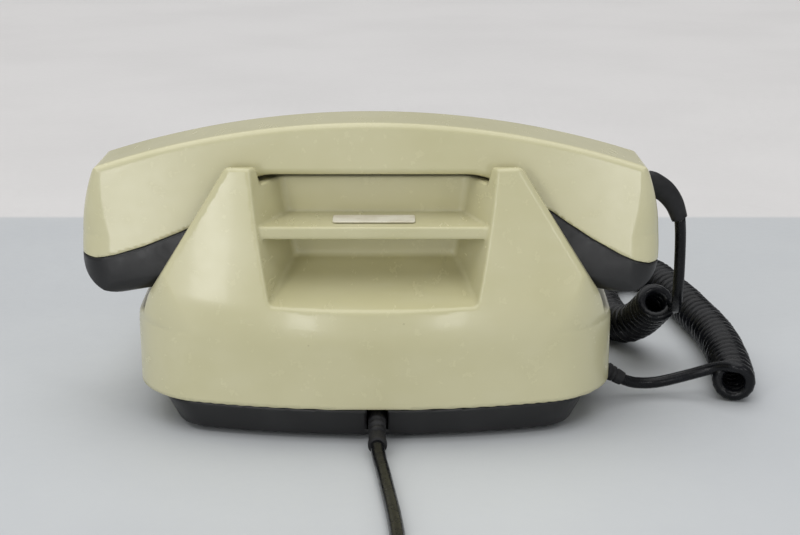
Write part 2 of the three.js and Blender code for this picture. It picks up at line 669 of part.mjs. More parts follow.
// Outline seen from the back, moved in by `inset`.
function handsetOutline(inset) {
  const end = HANDSET.halfLength - inset;
  const shape = new THREE.Shape();
  const topHalf = [
    [0, HANDSET.top], [30, 117.2], [50, 114.8], [70, 111.2], [88, 106.8], [104 - inset, HANDSET.endTop],
  ];
  const under = [[60.3, 78], [56.5, 88], [49, 95.2], [38, 97.7], [0, HANDSET.gripUnder]];
  const top = topHalf.map(([x, z]) => new THREE.Vector2(x, z - inset));
  const low = under.map(([x, z], i) => new THREE.Vector2(x + (i < 3 ? inset : inset / 3), z + (i < 1 ? 0 : inset)));
  const flip = (points) => points.map((point) => new THREE.Vector2(-point.x, point.y)).reverse();
  shape.moveTo(0, HANDSET.top - inset);
  shape.splineThru(flip(top).reverse().slice(1));
  shape.quadraticCurveTo(-108, 100.5 - inset, -109 + inset, 97 - inset);
  shape.quadraticCurveTo(-end, 84, -end, 70);
  shape.quadraticCurveTo(-end + 1, HANDSET.capBottom + 1 + inset, -97, HANDSET.capBottom + inset);
  shape.lineTo(-66, 55.6 + inset);
  shape.quadraticCurveTo(-61.6 - inset, 56.4 + inset, -61.4 - inset, 61 + inset);
  shape.splineThru(flip(low).reverse());
  shape.splineThru([...low].reverse().slice(1));
  shape.lineTo(61.4 + inset, 61 + inset);
  shape.quadraticCurveTo(61.6 + inset, 56.4 + inset, 66, 55.6 + inset);
  shape.lineTo(97, HANDSET.capBottom + inset);
  shape.quadraticCurveTo(end - 1, HANDSET.capBottom + 1 + inset, end, 70);
  shape.quadraticCurveTo(end, 84, 109 - inset, 97 - inset);
  shape.quadraticCurveTo(108, 100.5 - inset, 104 - inset, HANDSET.endTop - inset);
  shape.splineThru([...top].reverse().slice(1));
  return shape;
}

function handsetBlock(inset) {
  const { topHalfWidth, capHalfWidth, y, top } = HANDSET;
  const front = solid(alongY(handsetOutline(inset), y - 30, y + 30, 4));
  const ends = rounded([
    [topHalfWidth - inset, top - inset, 3], [capHalfWidth - inset, 62, 10], [capHalfWidth - inset, 40, 0],
    [-capHalfWidth + inset, 40, 0], [-capHalfWidth + inset, 62, 10], [-topHalfWidth + inset, top - inset, 3],
  ]);
  const length = HANDSET.halfLength - inset;
  const half = capHalfWidth - inset;
  const plan = rounded([[length, -half, 16], [length, half, 16], [-length, half, 16], [-length, -half, 16]]);
  return common(
    front,
    solid(alongX(ends, -130, 130, 4)).translate([0, y, 0]),
    solid(alongZ(plan, 30, 130, 6)).translate([0, y, 0]),
  );
}

// Everything above the parting line between the two shells, raised by `lift`. It is steeper at the mouthpiece (-X).
function aboveSeam(lift) {
  const earpiece = [[125, 66.6], [109, 65.6], [98, 67.2], [86, 71], [70, 78.2], [60, 83], [56, 60]];
  const mouthpiece = [[-56, 60], [-60, 89], [-70, 84], [-78, 79], [-88, 72.6], [-98, 67.2], [-108, 63.6], [-125, 62.6]];
  const outline = [...mouthpiece.reverse(), ...earpiece.reverse()].map(([x, z]) => [x, z + lift, 0]);
  return solid(alongY(rounded([...outline, [125, 140, 0], [-125, 140, 0]]), 0, 100));
}

const HANDSET_SCREW_X = 20;
const CAPSULE_X = 86;
const INSERT_HALF = 12.4; // half width of the black strip let into the underside of the grip
const INSERT_TOP = 100.8;

// The part of the handset's space that the lower shell takes: below the parting line, and the strip under the grip.
function lowerSpace(lift) {
  const half = INSERT_HALF - lift;
  const strip = solid(box(-64 + lift, 64 - lift, HANDSET.y - half, HANDSET.y + half, 40, INSERT_TOP - lift));
  const below = cut(solid(box(-125, 125, 0, 100, 40, 110)), aboveSeam(-lift));
  return join(strip, below);
}

function handsetUpper() {
  const hollow = cut(handsetBlock(0), handsetBlock(HANDSET.wall), lowerSpace(-GAP / 2));
  const posts = [-1, 1].map((side) =>
    solid(rod(3.4, INSERT_TOP + GAP, 115, side * HANDSET_SCREW_X, HANDSET.y, 12)));
  const threads = [-1, 1].map((side) => solid(rod(1.6, 90, 110, side * HANDSET_SCREW_X, HANDSET.y, 10)));
  return cut(join(hollow, ...posts), ...threads);
}

function handsetLower() {
  const hollow = cut(common(handsetBlock(0), lowerSpace(GAP / 2)), handsetBlock(HANDSET.wall));
  const holes = [-1, 1].map((side) => solid(rod(1.6, 90, 110, side * HANDSET_SCREW_X, HANDSET.y, 10)));
  for (const side of [-1, 1]) {
    holes.push(solid(rod(1.7, 40, 60, side * CAPSULE_X, HANDSET.y, 8)));
    for (let i = 0; i < 6; i += 1) {
      const angle = Math.PI * i / 3;
      const x = side * CAPSULE_X + 9 * Math.cos(angle);
      holes.push(solid(rod(1.7, 40, 60, x, HANDSET.y + 9 * Math.sin(angle), 8)));
    }
  }
  return cut(hollow, ...holes);
}

const receiverProfile = [[0, 58.5], [14, 58.5], [16.5, 60], [16.5, 64], [12, 66], [8, 70], [0, 70]];
const transmitterProfile = [[0, 58.5], [16.5, 58.5], [16.5, 62], [13, 64.5], [6, 67], [0, 67]];
const handsetScrew = [[0, 96.5], [2.6, 96.5], [2.6, 97.7], [1.2, 97.7], [1.2, 108], [0, 109]];

const handset = new THREE.Group();
handset.position.x = HANDSET.x;
group.add(handset);

place('handset_upper', handsetUpper(), ivory, handset);
place('handset_lower', handsetLower(), black, handset);
place('receiver_capsule', turned(receiverProfile, 20).translate(CAPSULE_X, HANDSET.y, 0), steel, handset);
place('transmitter_capsule', turned(transmitterProfile, 20).translate(-CAPSULE_X, HANDSET.y, 0), phenolic, handset);
place('handset_screw_right', turned(handsetScrew, 10).translate(HANDSET_SCREW_X, HANDSET.y, 0), steel, handset);
place('handset_screw_left', turned(handsetScrew, 10).translate(-HANDSET_SCREW_X, HANDSET.y, 0), steel, handset);

// ---------- cords ----------

// From the handset's cord boot down to the curled stretch, along it and back to the boot in the base.
place('handset_cord_boot', tube([
  [-113.6, 42, 90], [-116.8, 41.6, 87.2], [-119.7, 41, 83.6], [-121.8, 40.4, 79.4], [-123.2, 39.6, 74.6],
], 3.9, 7), rubber);

place('handset_cord_tail', tube([
  [-123.5, 39.2, 74], [-124.6, 37.4, 65], [-125.1, 36, 52], [-125.4, 33.4, 41], [-126.2, 28, 34], [-127, 21.6, 30],
], CORD.handsetWire / 2, 9), blackGloss);

const curlDrop = [
  [-120, 14, 31.5], [-119.5, 5, 26], [-117, -9, 16.8], [-112.4, -18.4, 11.4], [-108.4, -30, CORD.curlZ + 0.2],
];
const curlOnTable = [
  [-106.5, -48], [-106.5, -70], [-109, -90], [-116, -105], [-126, -111], [-136, -106], [-140.4, -93],
  [-142, -78], [-145.4, -60], [-148, -38], [-150.4, -18], [-151.2, 0], [-150.6, 18], [-149, 38],
];
const curlPath = [...curlDrop, ...curlOnTable.map(([x, y]) => [x, y, CORD.curlZ])];
place('handset_cord_curl', tube(curlPath, CORD.curlRadius, 44, 12), blackGloss);

place('handset_cord_lead', tube([
  [-147.4, 44.4, 12], [-143, 45.6, 12.8], [-137, 45.6, 12.2], [-129, 44.6, 9.4], [-117, 44.6, 6.2],
  [-109, 46.4, 6.4], [-104.2, 48, 7.2],
], CORD.handsetWire / 2, 10), blackGloss);

place('base_cord_boot', tube([
  [-102.4, 48.3, 8.6], [-97.6, 48.3, 11.4], [-92.6, 48.3, 13.4], [-86, 48.3, 14.6], [-77, 48.3, 14.9],
], 3.9, 7), rubber);

place('line_cord_boot', tube([
  [LINE_WAY.x, 82, 8.5], [LINE_WAY.x, 93, 8.5], [-1.3, 98, 7.2], [-1.4, 102.4, 5.4], [-1.6, 109, 4.6],
], 3.6, 8), rubber);

place('line_cord', tube([
  [-1.7, 109.8, 4.4], [-2.3, 117, 3.2], [-3.6, 126, 2.7], [-5.7, 144.8, 2.7], [-7.6, 162, 2.7], [-9.1, 180.2, 2.7],
  [-9.7, 198, 2.7], [-9.8, 216, 2.7], [-9.8, 230, 2.7],
], CORD.lineWire / 2, 12), blackGloss);

// Spare length, wound in a ring of three layers of three turns, with the plug where it comes out.
const RING = { x: 24.5, y: 252, inner: 21, outer: 37, height: 15.8 };
const ringProfile = [
  [RING.inner, 0.2], [RING.outer, 0.2], [RING.outer, RING.height], [RING.inner, RING.height], [RING.inner, 0.2],
];
place('line_cord_coil', turned(ringProfile, 28).translate(RING.x, RING.y, 0), blackGloss);

const PLUG = { x: 49, y: RING.y + 34.3, z: 8.2, length: 34, halfWidth: 12, pinGap: 6, pinRadius: 2 };

function linePlug() {
  const corners = [];
  for (const [x, half, z0, z1] of [[0, 6, 3.4, 13], [9, 12, 0.2, 16.2], [PLUG.length, 12, 0.2, 16.2]]) {
    for (const side of [-1, 1]) {
      corners.push([PLUG.x + x, PLUG.y + side * half, z0], [PLUG.x + x, PLUG.y + side * half, z1]);
    }
  }
  return hull(corners);
}

function plugPin(side) {
  const pin = rod(PLUG.pinRadius, 0, 17, 0, 0, 12).rotateY(Math.PI / 2);
  return pin.translate(PLUG.x + PLUG.length + GAP, PLUG.y + side * PLUG.pinGap, PLUG.z);
}

place('line_plug', linePlug(), black);
place('plug_pin_near', plugPin(-1), brass);
place('plug_pin_far', plugPin(1), brass);
export default group;
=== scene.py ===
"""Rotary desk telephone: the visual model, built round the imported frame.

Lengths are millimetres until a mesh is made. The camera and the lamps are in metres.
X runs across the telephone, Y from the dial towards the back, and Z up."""

import itertools
import math

import bmesh
import bpy
import numpy as np
from mathutils import Matrix, Vector


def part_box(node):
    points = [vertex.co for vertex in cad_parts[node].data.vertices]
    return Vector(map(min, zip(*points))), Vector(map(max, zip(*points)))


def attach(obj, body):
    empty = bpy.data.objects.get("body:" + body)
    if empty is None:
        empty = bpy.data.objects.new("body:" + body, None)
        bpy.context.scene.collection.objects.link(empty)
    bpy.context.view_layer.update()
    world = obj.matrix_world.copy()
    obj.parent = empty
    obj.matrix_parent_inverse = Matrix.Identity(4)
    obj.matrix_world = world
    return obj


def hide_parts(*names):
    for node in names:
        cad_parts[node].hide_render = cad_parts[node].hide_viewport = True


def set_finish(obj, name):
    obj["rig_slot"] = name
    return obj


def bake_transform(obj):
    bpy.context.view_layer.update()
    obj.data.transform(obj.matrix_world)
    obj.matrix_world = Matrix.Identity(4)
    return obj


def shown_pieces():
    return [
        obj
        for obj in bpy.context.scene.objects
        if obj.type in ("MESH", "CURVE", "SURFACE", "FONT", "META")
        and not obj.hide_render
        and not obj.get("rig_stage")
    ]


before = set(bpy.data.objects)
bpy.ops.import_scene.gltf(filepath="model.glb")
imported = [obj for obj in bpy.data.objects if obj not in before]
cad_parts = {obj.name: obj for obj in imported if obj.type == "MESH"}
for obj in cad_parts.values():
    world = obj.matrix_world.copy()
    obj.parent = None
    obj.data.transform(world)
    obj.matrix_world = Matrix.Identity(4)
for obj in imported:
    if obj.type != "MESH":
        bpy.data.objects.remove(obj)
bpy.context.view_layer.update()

MM = 0.001


# ---------- sizes, from the frame where it holds them ----------

def box_mm(node):
    """A node's lowest and highest corners at rest, in millimetres."""
    low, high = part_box(node)
    return np.array(low) / MM, np.array(high) / MM


SHELL_LOW, SHELL_HIGH = box_mm("body_shell")
HALF_WIDTH, HALF_DEPTH = SHELL_HIGH[0], SHELL_HIGH[1]
SHELL_BOTTOM, SHELL_TOP = SHELL_LOW[2], SHELL_HIGH[2]
PLATEAU = 95.9          # ridge under the handset's grip
SHOULDER, SHOULDER_HALF = 42.0, 57.5    # where the sides start to lean in, and their half width at the top
BACK_LEAN_Z = 50.0      # where the back starts to lean in
BACK_LOW_Y, BACK_TOP_Y = 95.5, 79.5     # the leaning back's line, at that height and at the top
WALL = 3.0
END_RADIUS = 265.0      # bulge of the front and back walls, in plan
SIDE_RADIUS = 900.0     # bulge of the sides, in plan
BULGE_REACH = 120.0     # how far out the bulge is worked out
TROUGH_FRONT, TROUGH_BACK, TROUGH_LEDGE = 23.5, 70.5, 47.0
NICHE_BACK, NICHE_HALF, NICHE_FLOOR = 55.0, 34.8, 63.7
SHELF_TOP, SHELF_BOTTOM, SHELF_EDGE = 81.6, 76.8, 80.5
LIP = 3.0               # inward lip round the shell's open underside
CORD_WAY_Y, CORD_WAY_HALF = 48.3, 4.6   # handset cord's opening in the side
PLUNGER_X, PLUNGER_Y, PLUNGER_HOLE = 34.0, 37.0, 3.5
DIAL_HOLE = 41.0        # radius of the shell's opening for the dial
SLOPE = math.radians(35)
SLOPE_Y, SLOPE_Z = -90.0, 34.0          # a point on the sloping face
DIAL_UP = 57.0          # the dial's middle, measured up the slope
DIAL_Y = SLOPE_Y + DIAL_UP * math.cos(SLOPE)
DIAL_Z = SLOPE_Z + DIAL_UP * math.sin(SLOPE)

HANDSET_LOW, HANDSET_HIGH = box_mm("handset_upper")
HANDSET_X, HANDSET_Y = (HANDSET_LOW[:2] + HANDSET_HIGH[:2]) / 2
END_INSIDE, TOP_INSIDE = 0.6, 0.1       # how far the handset's surface stays inside its CAD box
HANDSET_END = (HANDSET_HIGH[0] - HANDSET_LOW[0]) / 2 - END_INSIDE
HANDSET_TOP = HANDSET_HIGH[2] - TOP_INSIDE

CAMERA_PLACE = (-0.010, 0.639, 0.226)   # in metres
CAMERA_PITCH = math.radians(16)
CAMERA_LENS = 68.6
WALL_Y = -0.258         # where the table ends, in metres
FLOOR_REACH = 30        # half the floor's size, in metres
SKY_STRENGTH = 0.3
SUN_POWER = 2.0
SUN_SPREAD = math.radians(80)
SUN_LEAN = (math.radians(2), math.radians(6), 0)


# ---------- materials ----------

# The colour Mix node's sockets, which share their names with its other types of data.
MIX_SHARE, MIX_FIRST, MIX_SECOND, MIX_COLOUR = 0, 6, 7, 2


class Paint:
    """A material's node tree, with short calls for the nodes that it is made of."""

    def __init__(self, name, **shader):
        self.material = bpy.data.materials.new(name)
        self.material.use_nodes = True
        self.tree = self.material.node_tree
        self.shader = self.tree.nodes["Principled BSDF"]
        self.coords = self.tree.nodes.new("ShaderNodeTexCoord").outputs["Object"]
        for socket, value in shader.items():
            self.shader.inputs[socket.replace("_", " ")].default_value = value

    def put(self, node, socket, value):
        """Links a node's output to the socket, or sets a constant on it."""
        if isinstance(value, bpy.types.NodeSocket):
            self.tree.links.new(value, node.inputs[socket])
        else:
            node.inputs[socket].default_value = value

    def add(self, kind, settings=None, **inputs):
        node = self.tree.nodes.new("ShaderNode" + kind)
        for name, value in (settings or {}).items():
            setattr(node, name, value)
        for socket, value in inputs.items():
            self.put(node, socket.replace("_", " "), value)
        return node

    def stretched(self, scale):
        """Coordinates that draw a pattern out along the axes where scale is small."""
        return self.add("Mapping", Vector=self.coords, Scale=scale).outputs["Vector"]

    def noise(self, size_mm, detail=3.0, rough=0.5, vector=None):
        """Cloudy 0 to 1 pattern whose patches are about size_mm across."""
        scale = 1 / (size_mm * MM)
        node = self.add("TexNoise", Vector=vector or self.coords, Scale=scale, Detail=detail, Roughness=rough)
        return node.outputs["Fac"]

    def cells(self, size_mm):
        """Distance to the nearest of scattered points about size_mm apart, in those units."""
        return self.add("TexVoronoi", Vector=self.coords, Scale=1 / (size_mm * MM)).outputs["Distance"]

    def span(self, value, low, high, to_low=0.0, to_high=1.0):
        """Carries low...high smoothly to to_low...to_high, and stays level beyond."""
        node = self.add("MapRange", {"interpolation_type": "SMOOTHSTEP"}, Value=value)
        for socket, number in zip(("From Min", "From Max", "To Min", "To Max"), (low, high, to_low, to_high)):
            node.inputs[socket].default_value = number
        return node.outputs["Result"]

    def blend(self, share, first, second):
        """First colour where share is 0, second where it is 1."""
        node = self.add("Mix", {"data_type": "RGBA"})
        self.put(node, MIX_SHARE, share)
        for socket, colour in ((MIX_FIRST, first), (MIX_SECOND, second)):
            known = isinstance(colour, bpy.types.NodeSocket)
            self.put(node, socket, colour if known else (*colour, 1))
        return node.outputs[MIX_COLOUR]

    def bump(self, height, depth_mm, below=None):
        """Relief up to depth_mm deep, on top of the relief below."""
        node = self.add("Bump", Height=height, Strength=1.0, Distance=depth_mm * MM)
        if below is not None:
            self.tree.links.new(below, node.inputs["Normal"])
        return node.outputs["Normal"]

    def finish(self, colour, roughness, normal):
        for socket, value in (("Base Color", colour), ("Roughness", roughness), ("Normal", normal)):
            self.tree.links.new(value, self.shader.inputs[socket])
        return self.material


def srgb(red, green, blue):
    """Screen colour, 0 to 255, as the light values that shaders take."""
    levels = [c / 255 for c in (red, green, blue)]
    return tuple(c / 12.92 if c <= 0.04045 else ((c + 0.055) / 1.055) ** 2.4 for c in levels)


def ivory_plastic():
    """Moulded ivory, uneven with age: warm patches, pale rubbed marks, specks of dust and a flow ripple."""
    p = Paint("ivory_plastic", IOR=1.46, Coat_Weight=0.12, Coat_Roughness=0.08)
    patches = p.span(p.noise(55, 3), 0.35, 0.68)
    colour = p.blend(patches, srgb(208, 203, 166), srgb(201, 196, 156))
    streaks = p.span(p.noise(9, 4, 0.55, p.stretched((0.35, 1, 1))), 0.45, 0.75, 0, 0.18)
    colour = p.blend(streaks, colour, srgb(213, 209, 177))
    specks = p.span(p.cells(17), 0.02, 0.032, 0.22, 0)
    colour = p.blend(specks, colour, srgb(120, 112, 84))
    rubbed = p.noise(6, 6, 0.65, p.stretched((1, 0.3, 1)))
    roughness = p.span(rubbed, 0.35, 0.75, 0.23, 0.29)
    ripple = p.bump(p.noise(26, 2), 0.035)
    grain = p.bump(p.noise(0.7, 3, 0.6), 0.002, ripple)
    return p.finish(colour, roughness, grain)


def black_plastic():
    """Satin black moulding: greyer where dust and handling have dulled it."""
    p = Paint("black_plastic", IOR=1.47)
    colour = p.blend(p.span(p.noise(24, 4), 0.4, 0.75), srgb(26, 26, 27), srgb(36, 36, 37))
    dust = p.span(p.noise(0.8, 5, 0.7), 0.62, 0.8, 0, 0.2)
    colour = p.blend(dust, colour, srgb(80, 78, 74))
    roughness = p.span(p.noise(7, 5, 0.6), 0.3, 0.75, 0.3, 0.46)
    grain = p.bump(p.noise(0.5, 3, 0.6), 0.012, p.bump(p.noise(11, 2), 0.04))
    return p.finish(colour, roughness, grain)


def cord_plastic():
    """Glossy black sheath, slightly dulled in patches."""
    p = Paint("cord_plastic", IOR=1.45, Specular_IOR_Level=0.28)
    colour = p.blend(p.span(p.noise(16, 4), 0.4, 0.75), srgb(12, 13, 16), srgb(22, 23, 27))
    roughness = p.span(p.noise(3.5, 5, 0.65), 0.35, 0.75, 0.2, 0.38)
    return p.finish(colour, roughness, p.bump(p.noise(2.4, 2), 0.008))


def rubber():
    """Matt black rubber, chalky in patches."""
    p = Paint("rubber", IOR=1.5, Specular_IOR_Level=0.35)
    colour = p.blend(p.span(p.noise(4, 5, 0.65), 0.4, 0.75), srgb(24, 24, 26), srgb(43, 43, 44))
    roughness = p.span(p.noise(2, 4), 0.35, 0.7, 0.5, 0.7)
    return p.finish(colour, roughness, p.bump(p.noise(0.45, 4, 0.65), 0.03))


def metal(name, bright, dull, rough, brushed=(1, 1, 1), depth=0.01, size=1.2):
    """Metal with tarnish in patches, and tool marks drawn out along the axes where brushed is small."""
    p = Paint(name, Metallic=1.0)
    colour = p.blend(p.span(p.noise(13, 5, 0.6), 0.4, 0.7), bright, dull)
    marks = p.noise(size, 4, 0.6, p.stretched(brushed))
    roughness = p.span(marks, 0.3, 0.7, rough[0], rough[1])
    return p.finish(colour, roughness, p.bump(marks, depth))


def steel():
    return metal("steel", srgb(196, 198, 198), srgb(160, 162, 160), (0.24, 0.42), (0.12, 1, 1), 0.02)


def bright_metal():
    return metal("bright_metal", srgb(226, 227, 228), srgb(208, 210, 212), (0.05, 0.13), (1, 1, 1), 0.003, 3)


def brass():
    return metal("brass", srgb(205, 172, 104), srgb(166, 128, 70), (0.18, 0.36), (1, 1, 0.1), 0.015)


def copper_winding():
    """Enamelled wire wound in even turns, with painted shade in the grooves between turns and painted light
    on their crowns.
    """
    p = Paint("copper_winding", Metallic=0.85)
    bands = {"wave_type": "BANDS", "bands_direction": "X"}
    turns = p.add("TexWave", bands, Vector=p.coords, Scale=900.0, Distortion=0.6).outputs["Fac"]
    # Painted shade and light: dark brown in the grooves between turns, bright copper on their crowns.
    colour = p.blend(turns, srgb(96, 44, 20), srgb(196, 112, 62))
    roughness = p.span(p.noise(1.5, 3), 0.3, 0.7, 0.22, 0.4)
    return p.finish(colour, roughness, p.bump(turns, 0.12))


def phenolic():
    """Pressed brown board with its paper fibres."""
    p = Paint("phenolic", IOR=1.55)
    fibres = p.noise(1.4, 6, 0.7, p.stretched((0.3, 1, 1)))
    colour = p.blend(p.span(fibres, 0.35, 0.7), srgb(74, 42, 24), srgb(112, 70, 42))
    return p.finish(colour, p.span(fibres, 0.3, 0.7, 0.35, 0.55), p.bump(fibres, 0.03))


def capacitor_film():
    """Blue wrapping film with lengthwise wrinkles."""
    p = Paint("capacitor_film", IOR=1.5)
    wrinkle = p.noise(3, 4, 0.55, p.stretched((0.4, 1, 1)))
    colour = p.blend(p.span(wrinkle, 0.35, 0.7), srgb(36, 66, 120), srgb(58, 96, 150))
    return p.finish(colour, p.span(wrinkle, 0.3, 0.7, 0.2, 0.35), p.bump(wrinkle, 0.08))


def clear_plastic():
    """Clear cover over the dial's card, with hairline scratches in its gloss."""
    p = Paint("clear_plastic", IOR=1.49, Transmission_Weight=1.0)
    haze = p.noise(2.2, 6, 0.7, p.stretched((1, 0.15, 1)))
    colour = p.blend(p.span(p.noise(12, 3), 0.4, 0.7), (0.95, 0.96, 0.96), (0.90, 0.92, 0.91))
    return p.finish(colour, p.span(haze, 0.5, 0.75, 0.02, 0.14), p.bump(haze, 0.004))


def paper():
    """Plain card with fibres and slight browning."""
    p = Paint("paper", IOR=1.4, Specular_IOR_Level=0.2)
    fibres = p.noise(0.6, 6, 0.7)
    colour = p.blend(p.span(p.noise(9, 4), 0.4, 0.7), srgb(226, 222, 206), srgb(210, 203, 182))
    colour = p.blend(p.span(fibres, 0.5, 0.75, 0, 0.4), colour, srgb(190, 182, 160))
    return p.finish(colour, p.span(fibres, 0.3, 0.7, 0.7, 0.9), p.bump(fibres, 0.03))


def floor_paint():
    """Pale table, and beyond its back edge a paler tone, partly the backdrop's own colour and partly painted
    light for a backdrop lit unlike the table, told apart by a soft change of tone.
    """
    p = Paint("floor_paint", Specular_IOR_Level=0.25)
    place = p.add("SeparateXYZ", Vector=p.coords).outputs["Y"]
    # Beyond the table's back edge the floor is painted paler: partly the backdrop's own colour, partly
    # painted light standing in for how a backdrop is lit.
    beyond = p.span(place, WALL_Y - 0.006, WALL_Y + 0.002, 1, 0)
    cloud = p.span(p.noise(180, 3), 0.35, 0.7)
    table = p.blend(cloud, srgb(201, 204, 206), srgb(196, 199, 202))
    backdrop_tone_and_painted_light = p.blend(cloud, srgb(225, 223, 222), srgb(221, 219, 218))
    colour = p.blend(beyond, table, backdrop_tone_and_painted_light)
    return p.finish(colour, p.span(p.noise(6, 4), 0.3, 0.7, 0.42, 0.55), p.bump(p.noise(1.2, 3), 0.01))


FINISHES = (ivory_plastic, black_plastic, cord_plastic, rubber, steel, bright_metal, brass, copper_winding,
            phenolic, capacitor_film, clear_plastic, paper)


def apply_finishes(floor):
    """Every piece takes its slot's material, and so does every CAD node that still shows."""
    made = {finish.__name__: finish() for finish in FINISHES}
    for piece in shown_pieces():
        name = piece.get("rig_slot")
        if name is None:
            for place in piece.material_slots:
                place.material = made[place.material.name.split(".")[0]]
        elif len(piece.data.materials):
            piece.data.materials[0] = made[name]
        else:
            piece.data.materials.append(made[name])
    floor.data.materials.append(floor_paint())


# ---------- mesh helpers ----------

PROBE = 0.05            # how far to each side a slope is measured
HALVINGS = 6            # how often a crossing's stretch is halved
CORNER_HOLD = 0.04      # how firmly a cell's corner is held near the middle of its crossings


def new_object(name, data):
    """An object that holds the data, linked into the scene."""
    made = bpy.data.objects.new(name, data)
    bpy.context.collection.objects.link(made)
    return made


def add_mesh(name, points, faces, normals=None):
    """A smooth-shaded mesh object from corners in millimetres."""
    mesh = bpy.data.meshes.new(name)
    mesh.from_pydata((points * MM).tolist(), [], faces)
    mesh.shade_smooth()
    if normals is not None:
        mesh.normals_split_custom_set_from_vertices(normals.tolist())
    return new_object(name, mesh)


def meet(a, b, r, k=0.0):
    """Common part of two solids (negative inside), their edge rounded to radius r.

    k is the cosine of the angle between the directions that the two faces look in."""
    u, v = a + r, b + r
    arc = np.sqrt(np.maximum(u * u + v * v - 2 * k * u * v, 0) / (1 - k * k)) - r
    return np.where((u > k * v) & (v > k * u), arc, np.maximum(a, b))


def unite(a, b, r):
    """Two solids as one, the corner between them filled to radius r."""
    return -meet(-a, -b, r)


def gradient(field, points):
    """How the field grows along each axis at each point."""
    slopes = []
    for axis in range(3):
        shift = np.zeros(3)
        shift[axis] = PROBE
        slopes.append(field(*(points + shift).T) - field(*(points - shift).T))
    return np.stack(slopes, axis=1) / (2 * PROBE)


def crossing(field, inner, outer):
    """Where the surface lies between points inside the solid and points outside it, by halving."""
    low = np.zeros(len(inner))
    high = np.ones(len(inner))
    for _ in range(HALVINGS):
        middle = (low + high) / 2
        inside = field(*(inner + middle[:, None] * (outer - inner)).T) < 0
        low = np.where(inside, middle, low)
        high = np.where(inside, high, middle)
    return inner + ((low + high) / 2)[:, None] * (outer - inner)


def best_corners(cell_of, spots, normals, count):
    """For each cell, the point that best fits the flat faces touching it, so that sharp edges stay sharp."""
    def gather(values):
        return np.bincount(cell_of, values, count)

    weight = np.maximum(gather(np.ones(len(spots))), 1)
    middle = np.stack([gather(spots[:, i]) for i in range(3)], axis=1) / weight[:, None]
    off = ((spots - middle[cell_of]) * normals).sum(axis=1)
    matrix = np.zeros((count, 3, 3))
    wanted = np.zeros((count, 3, 1))
    for i in range(3):
        wanted[:, i, 0] = gather(normals[:, i] * off)
        for j in range(3):
            matrix[:, i, j] = gather(normals[:, i] * normals[:, j])
        matrix[:, i, i] += CORNER_HOLD * weight
    return middle + np.linalg.solve(matrix, wanted)[:, :, 0]


def skin(field, low, high, cell):
    """Quad mesh of the surface where field is 0 (negative inside).

    It has one corner in each cell of the grid that the surface passes through, and one face round
    each of the grid's edges that the surface crosses."""
    axes = [np.arange(low[i] - 2 * cell, high[i] + 3 * cell, cell) for i in range(3)]
    grid = np.meshgrid(*axes, indexing="ij", sparse=True)
    inside = np.broadcast_to(field(*grid), [len(a) for a in axes]) < 0
    cells = tuple(n - 1 for n in inside.shape)
    filled = np.zeros(cells, dtype=np.int8)
    for offset in itertools.product((0, 1), repeat=3):
        filled += inside[tuple(slice(o, o + n) for o, n in zip(offset, cells))]
    mixed = (filled > 0) & (filled < 8)
    number = np.full(cells, -1)
    number[mixed] = np.arange(mixed.sum())
    origin = np.array([a[0] for a in axes])
    faces, spots = [], []
    for a in range(3):
        b, c = (a + 1) % 3, (a + 2) % 3
        before = [slice(None)] * 3
        after = [slice(None)] * 3
        before[a], after[a] = slice(0, -1), slice(1, None)
        first, second = inside[tuple(before)], inside[tuple(after)]
        stride = cell * np.eye(3)[a]
        for leaving in (True, False):
            edges = np.argwhere((first & ~second) if leaving else (~first & second))
            loop = []
            for ob, oc in ((1, 1), (0, 1), (0, 0), (1, 0)):
                place = edges.copy()
                place[:, b] -= ob
                place[:, c] -= oc
                loop.append(number[tuple(place.T)])
            quads = np.stack(loop, axis=1)
            near, far = origin + edges * cell, origin + edges * cell + stride
            spots.append(crossing(field, near, far) if leaving else crossing(field, far, near))
            faces.append(quads if leaving else quads[:, ::-1])
    faces, spots = np.concatenate(faces), np.concatenate(spots)
    slope = gradient(field, spots)
    slope /= np.maximum(np.linalg.norm(slope, axis=1, keepdims=True), 1e-9)
    cell_of = faces.ravel()
    points = best_corners(cell_of, np.repeat(spots, 4, axis=0), np.repeat(slope, 4, axis=0), int(mixed.sum()))
    centre = origin + (np.argwhere(mixed) + 0.5) * cell
    points = centre + np.clip(points - centre, -0.5 * cell, 0.5 * cell)
    normals = gradient(field, points)
    normals /= np.maximum(np.linalg.norm(normals, axis=1, keepdims=True), 1e-9)
    return points, faces.tolist(), normals


def skin_piece(name, field, low, high, cell):
    return add_mesh(name, *skin(field, low, high, cell))


def show_as(piece, node, body, finish):
    """The piece stands for a CAD node, rides on its body and takes a finish."""
    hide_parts(node)
    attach(piece, body)
    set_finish(piece, finish)
    return piece


# ---------- body shell ----------

def plane(u, v, at, direction):
    """Signed distance past a line through `at` in the plane (u, v), growing along `direction`."""
    du, dv = direction
    size = math.hypot(du, dv)
    return ((u - at[0]) * du + (v - at[1]) * dv) / size


def end_bulge(x):
    """How far the ends stand back from their middle line at x."""
    return END_RADIUS - np.sqrt(END_RADIUS ** 2 - np.minimum(np.abs(x), BULGE_REACH) ** 2)


